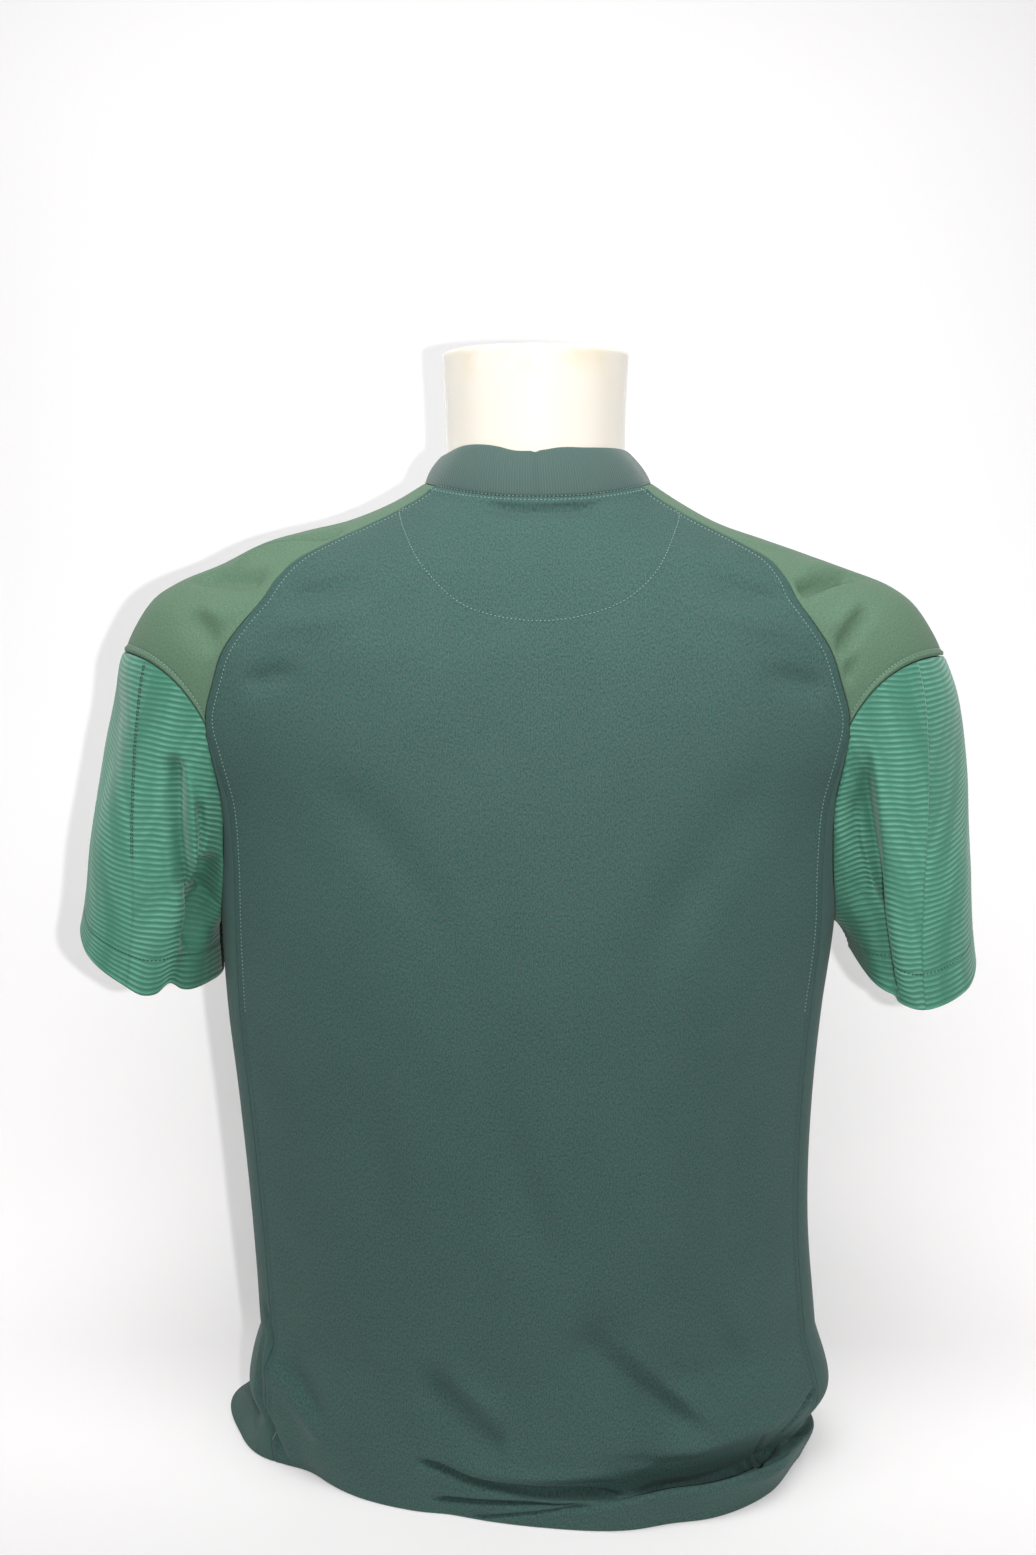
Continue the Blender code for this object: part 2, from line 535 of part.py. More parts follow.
def finish(name, colour, roughness, metallic):
    """Principled material, made once."""
    material = bpy.data.materials.get(name)
    if material is None:
        material = bpy.data.materials.new(name)
        material.use_nodes = True
        shader = material.node_tree.nodes["Principled BSDF"]
        shader.inputs["Base Color"].default_value = (*colour, 1.0)
        shader.inputs["Roughness"].default_value = roughness
        shader.inputs["Metallic"].default_value = metallic
    return material


def add_object(name, points, faces, look, collection):
    """Object from points and faces, shaded smooth."""
    mesh = bpy.data.meshes.new(name)
    mesh.from_pydata([tuple(point) for point in points], [], faces)
    mesh.update()
    mesh.shade_smooth()
    mesh.materials.append(finish(*look))
    thing = bpy.data.objects.new(name, mesh)
    collection.objects.link(thing)
    return thing


def trimmed(grid, first_row=0.0, last_row=0.0, first_column=0.0, last_column=0.0):
    """Draw the edges of a grid of points back by the given distances, along its own lines."""
    grid = grid.copy()
    grid[0] += unit(grid[1] - grid[0]) * first_row
    grid[-1] += unit(grid[-2] - grid[-1]) * last_row
    grid[:, 0] += unit(grid[:, 1] - grid[:, 0]) * first_column
    grid[:, -1] += unit(grid[:, -2] - grid[:, -1]) * last_column
    return grid


def add_wall(name, grid, look, collection, thickness=CLOTH, flip=False, closed=False):
    """Wall of cloth: a grid of outer points, thickened inwards by a Solidify modifier."""
    rows, columns = grid.shape[:2]
    index = np.arange(rows * columns).reshape(rows, columns)
    if closed:
        index = np.hstack([index, index[:, :1]])
    quads = np.stack([index[:-1, :-1], index[:-1, 1:], index[1:, 1:], index[1:, :-1]], axis=-1)
    quads = quads.reshape(-1, 4)[:, ::-1] if flip else quads.reshape(-1, 4)
    wall = add_object(name, grid.reshape(-1, 3), quads.tolist(), look, collection)
    solidify = wall.modifiers.new("wall", "SOLIDIFY")
    solidify.thickness = thickness
    solidify.offset = -1.0
    solidify.use_even_offset = True
    return wall


TUBE_HEIGHTS = (0.330, 0.285, 0.240, 0.195, 0.160, 0.130, 0.105, HEM_TOP)
HEM_STEPS = (0.45, 0.8, 1.1, 1.5, 1.9, 2.25, 2.6, 2.9, 3.2, 3.6, 4.0)
SADDLE_ROWS = 10  # from the collar to the armhole's corner
ARMHOLE_ROWS = 7  # from the armhole's corner to the plain tube
BACK_COLUMNS = 14
FRONT_COLUMNS = 12
COLLAR_STEPS = 2
FORM_RINGS = 27
FORM_COLUMNS = 24
BUNCHING = 0.85  # how much closer together a panel's columns stand at its seams
SADDLE_PLACES = (0.0, 0.26, 0.52, 0.78, 0.94, 1.0)  # columns of a saddle, from its crest to a seam
SIDE_PLACES = (0.0, 0.25, 0.55, 0.82, 0.955, 1.0)  # columns of a side panel, from its middle to a seam


def bunched(columns):
    """Places from -1 to 1, closer together at both ends."""
    even = np.linspace(-1, 1, columns + 1)
    return even + BUNCHING * np.sin(np.pi * even) / np.pi


def mirrored(places):
    """Places from -1 to 1 out of places from 0 to 1."""
    places = np.array(places)
    return np.concatenate([-places[:0:-1], places])


def sleeve_turns():
    """Directions of a sleeve's columns, from the outer seam back and round to the outer seam.

    They stand where the saddle's and the side panel's columns end, so those edges agree. The first
    list is the back piece's, down to the underarm seam, and the second is the front piece's.
    """
    over = [SLEEVE_CORNER_TURN * place for place in SADDLE_PLACES]
    under = [180 - (180 - SLEEVE_CORNER_TURN) * place for place in SIDE_PLACES]
    behind = [turn for turn in over if turn >= OUTER_SEAM_TURN] + under[-2:0:-1]
    below = [180] + [360 - turn for turn in under[1:]]
    before = [360 - turn for turn in over[-2::-1]]
    before += [360 + turn for turn in over[1:] if turn <= OUTER_SEAM_TURN]
    return behind, [behind[-1]] + below + before


def add_panel(name, face, columns, look, collection):
    """Back or front panel, from the neck seam to the hem."""
    across = bunched(columns)
    raglan = raglan_line(np.linspace(0, 1, SADDLE_ROWS + 1), face, 1)[1]
    below = np.linspace(ARMHOLE_CORNER, TUBE_HEIGHTS[0], ARMHOLE_ROWS + 1)[1:-1]
    heights = np.concatenate([raglan, below, TUBE_HEIGHTS])
    tube = panel(across[None, :], heights[:, None], face)
    ring = tube[-1]
    hem = gathered(ring, HEM_STEPS)
    grid = trimmed(np.concatenate([tube, hem]), SEAM_GAP / 2, 0.0, SEAM_GAP / 2, SEAM_GAP / 2)
    return add_wall(name, grid, look, collection, flip=face < 0)


def add_side(name, hand, look, collection):
    """Side panel, from the armhole to the hem."""
    around_side = mirrored(SIDE_PLACES)
    top = armhole_height(around_side)
    share = np.linspace(0, 1, ARMHOLE_ROWS + 1)[:-1, None]
    upper = top[None, :] * (1 - share) + TUBE_HEIGHTS[0] * share
    tube = np.concatenate([upper, np.repeat(np.array(TUBE_HEIGHTS)[:, None], len(around_side), axis=1)])
    grid = side_surface(around_side[None, :], tube, hand)
    ring = grid[-1]
    hem = gathered(ring, HEM_STEPS)
    grid = np.concatenate([grid, hem])
    tips = grid[0, [0, -1]] + unit(grid[1, [0, -1]] - grid[0, [0, -1]]) * EAR_TIP
    grid = trimmed(grid, ANGLED_GAP, 0.0, SIDE_GAP, SIDE_GAP)
    grid[0, [0, -1]] = tips + unit(grid[1, [1, -2]] - grid[1, [0, -1]]) * EAR_GAP
    return add_wall(name, grid, look, collection, thickness=SIDE_CLOTH, flip=hand > 0)


def add_saddle(name, hand, look, collection):
    """Saddle panel over the shoulder, from the collar to the sleeve seam."""
    step = np.linspace(0, 1, SADDLE_ROWS + 1)[:, None]
    across = mirrored(SADDLE_PLACES)[None, :]
    grid = trimmed(saddle(step, across, hand), SEAM_GAP / 2, SEAM_GAP / 2, SEAM_GAP / 2, SEAM_GAP / 2)
    return add_wall(name, grid, look, collection, flip=hand > 0)


def add_closed(name, points, faces, look, collection):
    """Object of one closed body, its faces turned outwards."""
    thing = add_object(name, points, faces, look, collection)
    body = bmesh.new()
    body.from_mesh(thing.data)
    bmesh.ops.recalc_face_normals(body, faces=body.faces)
    body.to_mesh(thing.data)
    body.free()
    return thing


def zipped(upper, upper_at, lower, lower_at):
    """Triangles between two lines of points, each given with its places along the seam."""
    faces = []
    i = j = 0
    while i < len(upper) - 1 or j < len(lower) - 1:
        if j == len(lower) - 1 or (i < len(upper) - 1 and upper_at[i + 1] <= lower_at[j + 1]):
            faces.append((upper[i], upper[i + 1], lower[j]))
            i += 1
        else:
            faces.append((upper[i], lower[j + 1], lower[j]))
            j += 1
    return faces


def sleeve_wall(columns, outward, pitch, lift_even, lift_odd, first_index):
    """Points and faces of one side of a sleeve's wall, in rows at whole steps from the cuff.

    Even and odd rows are moved out by their own lift, which makes ribs or a plain wall.

    A column that reaches the armhole ends there, so the rows are cut off along the slanted seam.
    Returns points, faces, the point numbers of each column and their distances from the cuff.
    """
    lengths = column_lengths(columns)
    points, lines, places = [], [], []
    for column in range(columns.shape[1]):
        total = lengths[-1, column] - ANGLED_GAP
        at = np.append(np.arange(0, total - SHORTEST_STEP * pitch, pitch), total)
        line = [np.interp(at, lengths[:, column], columns[:, column, axis]) for axis in range(3)]
        normal = [np.interp(at, lengths[:, column], outward[:, column, axis]) for axis in range(3)]
        lift = np.full(len(at), lift_even)
        lift[1:-1:2] = lift_odd
        points.extend(np.stack(line, axis=-1) + np.stack(normal, axis=-1) * lift[:, None])
        lines.append(list(range(first_index, first_index + len(at))))
        places.append(at)
        first_index += len(at)
    faces = []
    for left, right in zip(lines[:-1], lines[1:]):
        for row in range(max(len(left), len(right)) - 1):
            low = (left[min(row, len(left) - 1)], right[min(row, len(right) - 1)])
            high = (left[min(row + 1, len(left) - 1)], right[min(row + 1, len(right) - 1)])
            corners = dict.fromkeys((low[0], low[1], high[1], high[0]))
            if len(corners) > 2:
                faces.append(tuple(corners))
    return points, faces, lines, places


def add_sleeve(name, hand, turns, look, collection):
    """Half a sleeve: ribs raised in its outer points over a plain inside."""
    cuff, folds = (LEFT_CUFF, LEFT_FOLDS) if hand > 0 else (RIGHT_CUFF, RIGHT_FOLDS)
    turns = np.array(turns, float)
    columns, left, right = (
        sleeve(turns + look, hand, cuff, folds) for look in (0, -LOOK_BESIDE, LOOK_BESIDE)
    )
    outward = unit(np.cross(right - left, np.gradient(columns, axis=0))) * hand
    columns = trimmed(columns, 0.0, 0.0, SEAM_GAP / 2, SEAM_GAP / 2)
    outer, outer_faces, outer_lines, outer_at = sleeve_wall(
        columns, outward, RIB_PITCH / 2, 0.0, RIB_HEIGHT, 0
    )
    inner, inner_faces, inner_lines, inner_at = sleeve_wall(
        columns, outward, INNER_PITCH, -CLOTH, -CLOTH, len(outer)
    )
    faces = outer_faces + [face[::-1] for face in inner_faces]
    for column in range(len(turns) - 1):
        for end in (0, -1):
            ends = (outer_lines[column][end], outer_lines[column + 1][end])
            back = (inner_lines[column + 1][end], inner_lines[column][end])
            faces.append(ends[::-1] + back[::-1] if end == 0 else ends + back)
    for column, forward in ((0, False), (-1, True)):
        strip = zipped(outer_lines[column], outer_at[column], inner_lines[column], inner_at[column])
        faces += [face if forward else face[::-1] for face in strip]
    return add_closed(name, outer + inner, faces, look, collection)


def collar_turns():
    """Directions of the collar's columns, which stand where the columns of the panels end."""
    across = bunched(BACK_COLUMNS)[::-1] * RAGLAN_NECK_X / NECK_HALF_WIDTH
    behind = np.degrees(np.arccos(np.sign(across) * np.abs(across) ** (NECK_POWER / 2)))
    across = bunched(FRONT_COLUMNS) * RAGLAN_NECK_X / NECK_HALF_WIDTH
    before = 360 - np.degrees(np.arccos(np.sign(across) * np.abs(across) ** (NECK_POWER / 2)))
    share = mirrored(SADDLE_PLACES)[1:-1] * saddle_end_share()
    over = np.degrees(np.arcsin(np.sign(share) * np.abs(share) ** (NECK_POWER / 2)))
    return np.concatenate([over, behind, 180 - over[::-1], before])


def collar_ring(turn, middle_x, half_width, back, front, side_height, back_drop, front_drop):
    """Ring of the collar: a rounded oval that drops behind and, further, in front."""
    turn = np.radians(turn)
    flat_x = np.sign(np.cos(turn)) * np.abs(np.cos(turn)) ** (2 / NECK_POWER)
    flat_y = np.sign(np.sin(turn)) * np.abs(np.sin(turn)) ** (2 / NECK_POWER)
    reach = np.where(flat_y > 0, back, front)
    drop = np.where(flat_y > 0, back_drop, front_drop)
    return np.stack([middle_x + half_width * flat_x, reach * flat_y, side_height - drop * flat_y**2], -1)


def add_collar(name, look, collection):
    """Stand collar of double knit around the neck seam."""
    turn = collar_turns()
    base = collar_ring(
        turn, NECK_MIDDLE_X, NECK_HALF_WIDTH, NECK_BACK, NECK_FRONT,
        NECK_SIDE_HEIGHT, NECK_BACK_DROP, NECK_FRONT_DROP,
    )
    top = collar_ring(
        turn, 0.0, COLLAR_TOP_HALF_WIDTH, COLLAR_TOP_BACK, COLLAR_TOP_FRONT,
        COLLAR_TOP_SIDE_HEIGHT, COLLAR_TOP_BACK_DROP, COLLAR_TOP_FRONT_DROP,
    )
    base = base + unit(top - base) * COLLAR_GAP
    outward = unit((base - np.array([NECK_MIDDLE_X, 0.0, 0.0])) * np.array([1.0, 1.0, 0.0]))
    step = np.linspace(0, 1, COLLAR_STEPS + 1)[:, None, None]
    grid = base + (top - base) * step + outward * COLLAR_BULGE * 4 * step * (1 - step)
    return add_wall(name, grid, look, collection, thickness=COLLAR_CLOTH, closed=True)


def add_form(name, look, collection):
    """Torso form: rings from the flat base to the flat-cut neck."""
    keyed = [(step,) + tuple(row) for step, row in enumerate(FORM)]
    rows = through(keyed, np.linspace(0, len(FORM) - 1, FORM_RINGS))[:, None, :]
    turn = np.radians(np.linspace(0, 360, FORM_COLUMNS, endpoint=False))[None, :]
    power = 2 / rows[..., 6]
    flat_x = np.sign(np.cos(turn)) * np.abs(np.cos(turn)) ** power
    flat_y = np.sign(np.sin(turn)) * np.abs(np.sin(turn)) ** power
    behind = np.sin(turn) > 0
    share = np.sin(turn) ** 2
    end_height = np.where(behind, rows[..., 3], rows[..., 5])
    x = rows[..., 0] * flat_x
    y = np.where(behind, rows[..., 2], -rows[..., 4]) * flat_y
    height = rows[..., 1] + (end_height - rows[..., 1]) * share
    grid = np.stack([x, y, height], axis=-1)
    count, around_count = grid.shape[:2]
    index = np.arange(count * around_count).reshape(count, around_count)
    beside = np.roll(index, -1, axis=1)
    quads = np.stack([index[:-1], beside[:-1], beside[1:], index[1:]], axis=-1).reshape(-1, 4)
    faces = quads.tolist() + [index[0][::-1].tolist(), index[-1].tolist()]
    return add_closed(name, grid.reshape(-1, 3), faces, look, collection)


def main():
    """Build the jersey and the form."""
    for thing in list(bpy.data.objects):
        bpy.data.objects.remove(thing, do_unlink=True)
    collection = bpy.data.collections.new("soccer_jersey")
    bpy.context.scene.collection.children.link(collection)
    add_panel("back_panel", 1, BACK_COLUMNS, BODY_KNIT, collection)
    add_panel("front_panel", -1, FRONT_COLUMNS, BODY_KNIT, collection)
    for hand, side in ((1, "left"), (-1, "right")):
        add_side(f"side_panel_{side}", hand, BODY_KNIT, collection)
        add_saddle(f"shoulder_{side}", hand, SADDLE_KNIT, collection)
        behind, before = sleeve_turns()
        add_sleeve(f"sleeve_{side}_back", hand, behind, SLEEVE_RIB, collection)
        add_sleeve(f"sleeve_{side}_front", hand, before, SLEEVE_RIB, collection)
    add_collar("collar", COLLAR_KNIT, collection)
    add_form("torso_form", FORM_GLOSS, collection)


if __name__ == "__main__":
    main()
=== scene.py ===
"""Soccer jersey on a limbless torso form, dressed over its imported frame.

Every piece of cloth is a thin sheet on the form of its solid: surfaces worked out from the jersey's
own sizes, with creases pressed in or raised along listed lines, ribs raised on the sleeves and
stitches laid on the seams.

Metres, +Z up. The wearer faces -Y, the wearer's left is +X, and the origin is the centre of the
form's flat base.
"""

import logging
import math
from dataclasses import dataclass
from enum import IntEnum
from typing import Any, Callable, NamedTuple, Sequence

import bpy
import numpy as np
from numpy.typing import NDArray
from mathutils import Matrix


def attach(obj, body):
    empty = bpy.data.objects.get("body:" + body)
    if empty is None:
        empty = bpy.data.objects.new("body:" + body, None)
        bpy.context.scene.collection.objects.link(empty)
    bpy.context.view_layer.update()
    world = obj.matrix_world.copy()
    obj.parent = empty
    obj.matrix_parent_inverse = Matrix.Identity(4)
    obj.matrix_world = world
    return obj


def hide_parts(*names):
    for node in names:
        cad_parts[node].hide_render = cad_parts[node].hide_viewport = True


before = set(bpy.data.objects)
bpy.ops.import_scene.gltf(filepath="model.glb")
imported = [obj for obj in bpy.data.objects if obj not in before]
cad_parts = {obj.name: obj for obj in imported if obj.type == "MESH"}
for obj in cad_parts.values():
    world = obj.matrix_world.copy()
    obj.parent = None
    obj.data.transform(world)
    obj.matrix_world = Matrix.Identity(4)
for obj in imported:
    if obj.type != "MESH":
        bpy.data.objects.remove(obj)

Array = NDArray[Any]
Colour = tuple[float, float, float]
Looks = dict[str, bpy.types.Material]

ROOT = "root"
log = logging.getLogger("jersey")


class Hand(IntEnum):
    """Side of the wearer; the value is the sign of x."""

    LEFT = 1
    RIGHT = -1

    @property
    def word(self) -> str:
        """Name of the side."""
        return self.name.lower()


class Face(IntEnum):
    """Back or front of the body; the value is the sign of y."""

    BACK = 1
    FRONT = -1


def table(kind: Callable[..., Any], *rows: tuple[Any, ...]) -> tuple[Any, ...]:
    """Rows of a table, each under its kind's named columns."""
    return tuple(kind(*row) for row in rows)


# ---- Smooth lines ----


def hermite(start: Array, end: Array, leave: Array, arrive: Array, step: Array) -> Array:
    """Cubic between two places: each is weighted by a cubic in step, and so is each end slope.

    Args:
        start, end: the two places.
        leave, arrive: slopes at the two ends, per whole step.
        step: 0 at the start to 1 at the end.

    Returns:
        The places at the steps.
    """
    return (
        start * (2 * step**3 - 3 * step**2 + 1)
        + leave * (step**3 - 2 * step**2 + step)
        + end * (3 * step**2 - 2 * step**3)
        + arrive * (step**3 - step**2)
    )


def through(rows: Any, at: Any) -> Array:
    """Smooth line through a table's rows: a cubic in each span, its slopes from the rows beside it.

    Args:
        rows: table whose first column is the key.
        at: keys to read the line at.

    Returns:
        The other columns' values at those keys, as the last axis.
    """
    table = np.array(rows, dtype=float)
    keys, values = table[:, 0], table[:, 1:]
    slopes = np.gradient(values, keys, axis=0)
    at = np.clip(np.asarray(at, dtype=float), keys[0], keys[-1])
    low = np.clip(np.searchsorted(keys, at, side="right") - 1, 0, len(keys) - 2)
    span = (keys[low + 1] - keys[low])[..., None]
    step = (at - keys[low])[..., None] / span
    return hermite(values[low], values[low + 1], slopes[low] * span, slopes[low + 1] * span, step)


def between(rows: Sequence[Any], at: Any) -> Any:
    """Row of a table at keys between its rows: an array under each column's name."""
    return type(rows[0])(at, *np.moveaxis(through(rows, at), -1, 0))


def around(rows: Sequence[tuple[float, ...]], turn: Any) -> Array:
    """Smooth closed line through a table keyed by direction: two rows are repeated past each end.

    Args:
        rows: table whose first column is a direction in degrees.
        turn: directions to read it at.

    Returns:
        The other columns' values.
    """
    rows = [tuple(row) for row in rows]
    before = [(row[0] - 360,) + row[1:] for row in rows[-2:]]
    after = [(row[0] + 360,) + row[1:] for row in rows[:2]]
    turn = (np.asarray(turn, dtype=float) - rows[0][0]) % 360 + rows[0][0]
    return through(before + rows + after, turn)


def unit(vectors: Array) -> Array:
    """Vectors scaled to length 1."""
    return vectors / np.maximum(np.linalg.norm(vectors, axis=-1, keepdims=True), 1e-12)


def ease(value: Any, low: float, high: float) -> Array:
    """0 below low, 1 above high and smooth between."""
    step = np.clip((np.asarray(value, float) - low) / (high - low), 0, 1)
    return step * step * (3 - 2 * step)


def bell(distance: Any, half_width: Any) -> Array:
    """Bell over a distance from a line: exp(-(distance / half width) squared)."""
    return np.exp(-((np.asarray(distance) / half_width) ** 2))


def oval(turn: Array, power: Any) -> tuple[Array, Array]:
    """x and y of a squared oval of radius 1: the cosine and the sine, each to the power 2 / power."""
    x, y = np.cos(turn), np.sin(turn)
    return np.sign(x) * np.abs(x) ** (2 / power), np.sign(y) * np.abs(y) ** (2 / power)


def two_halves(side: Array, half: Callable[[int], Array]) -> Array:
    """Surface of two halves: half(1) where side is 0 or more, half(-1) where it is less."""
    return np.where((side >= 0)[..., None], half(1), half(-1))


def run_lengths(points: Array, axis: int) -> Array:
    """Running length along one axis of a grid of points, 0 at its first line."""
    steps = np.linalg.norm(np.diff(points, axis=axis), axis=-1)
    start = np.zeros_like(np.take(steps, [0], axis=axis))
    return np.concatenate([start, np.cumsum(steps, axis=axis)], axis=axis)


def grid_normals(points: Array, flip: bool, closed: bool = False) -> Array:
    """Normals of a grid: the slope along the columns crossed with the slope along the rows.

    Args:
        points: grid of rows and columns.
        flip: turn the normals round.
        closed: the last column meets the first.

    Returns:
        Unit normals, one for each point.
    """
    if closed:
        wide = np.concatenate([points[:, -1:], points, points[:, :1]], axis=1)
        over = np.gradient(wide, axis=1)[:, 1:-1]
    else:
        over = np.gradient(points, axis=1)
    return unit(np.cross(over, np.gradient(points, axis=0))) * (-1 if flip else 1)


# ---- Creases ----

LINE_SAMPLES = 90
LINE_REACH = 0.985  # share of a row that a line of stitches runs over
CREASE_REACH = 3.0  # how far a crease is worked out, in half widths

Placer = Callable[[Array], Array]


class Crease(NamedTuple):
    """Fold along a line of places on a surface: a depth above 0 presses in, below 0 stands out."""

    line: tuple[tuple[float, float], ...]
    depth: float
    left: float  # half width on the left of the line, seen from outside as it runs
    right: float
    fade: float = 0.3  # part of the line over which it fades at each end


def crease_line(line: Sequence[tuple[float, float]], place: Placer) -> Array:
    """Points along a line of places: a smooth line through the places, laid on the surface.

    Args:
        line: places on the surface.
        place: gives the points of an array of places.

    Returns:
        The points, in order.
    """
    keyed = [(step, *spot) for step, spot in enumerate(line)]
    return place(through(keyed, np.linspace(0, len(line) - 1, LINE_SAMPLES)))


def crease_depth(points: Array, normals: Array, creases: Sequence[Crease], place: Placer) -> Array:
    """Depth of all creases at each point: depth times fade times a bell over the level distance.

    The nearest sample of a crease's line gives the part of its length for the fade, its direction
    for the distance across it, and the side, which picks one of the two half widths.

    Args:
        points, normals: the surface, in any shape.
        creases: the folds.
        place: gives the points of an array of places.

    Returns:
        Depths, inwards above 0.
    """
    flat, facing = points.reshape(-1, 3), normals.reshape(-1, 3)
    depth = np.zeros(len(flat))
    for crease in creases:
        line = crease_line(crease.line, place)
        reach = CREASE_REACH * max(crease.left, crease.right)
        inside = (flat > line.min(axis=0) - reach) & (flat < line.max(axis=0) + reach)
        near = np.flatnonzero(inside.all(axis=1))
        gaps = flat[near, None] - line[None]
        nearest = np.linalg.norm(gaps, axis=-1).argmin(axis=1)
        along = unit(np.gradient(line, axis=0))[nearest]
        gap = gaps[np.arange(len(near)), nearest]
        gap = gap - along * np.sum(gap * along, axis=-1, keepdims=True)
        side = np.sum(np.cross(gap, along) * facing[near], axis=-1)
        half_width = np.where(side > 0, crease.right, crease.left)
        share = nearest / (LINE_SAMPLES - 1)
        fade = ease(share, 0, crease.fade) * (1 - ease(share, 1 - crease.fade, 1))
        depth[near] += crease.depth * fade * bell(np.linalg.norm(gap, axis=-1), half_width)
    return depth.reshape(points.shape[:-1])


# ---- The cut: surfaces that every piece of cloth lies on ----


class BodyRow(NamedTuple):
    """Section of the body at one height."""

    height: float
    seam_x: float
    back_seam_y: float
    back_y: float
    front_seam_y: float
    front_y: float
    side_x: float
    middle_x: float

    def depths(self, face: int) -> tuple[Any, Any]:
        """y at the seams and in the middle, of the back (1) or the front (-1)."""
        return (self.back_seam_y, self.back_y) if face > 0 else (self.front_seam_y, self.front_y)


class CrestRow(NamedTuple):
    """Place on the crest of a shoulder."""

    step: float
    x: float
    y: float
    height: float


class HemRow(NamedTuple):
    """Section of the gathered hem in one direction."""

    turn: float
    bulge_out: float
    bulge_height: float
    tuck_out: float
    tuck_height: float
    crest_out: float
    crest_height: float
    hem_out: float


class FoldRow(NamedTuple):
    """Soft trough in the body between two places (x and height)."""

    face: int
    x_start: float
    height_start: float
    x_end: float
    height_end: float
    depth: float
    half_width: float


class CuffRow(NamedTuple):
    """Place on a sleeve's free edge."""

    turn: float
    x: float
    y: float
    height: float


class SleeveFold(NamedTuple):
    """Long soft fold of a sleeve."""

    turn_low: float
    turn_high: float
    depth: float
    half_width: float
    start: float
    end: float


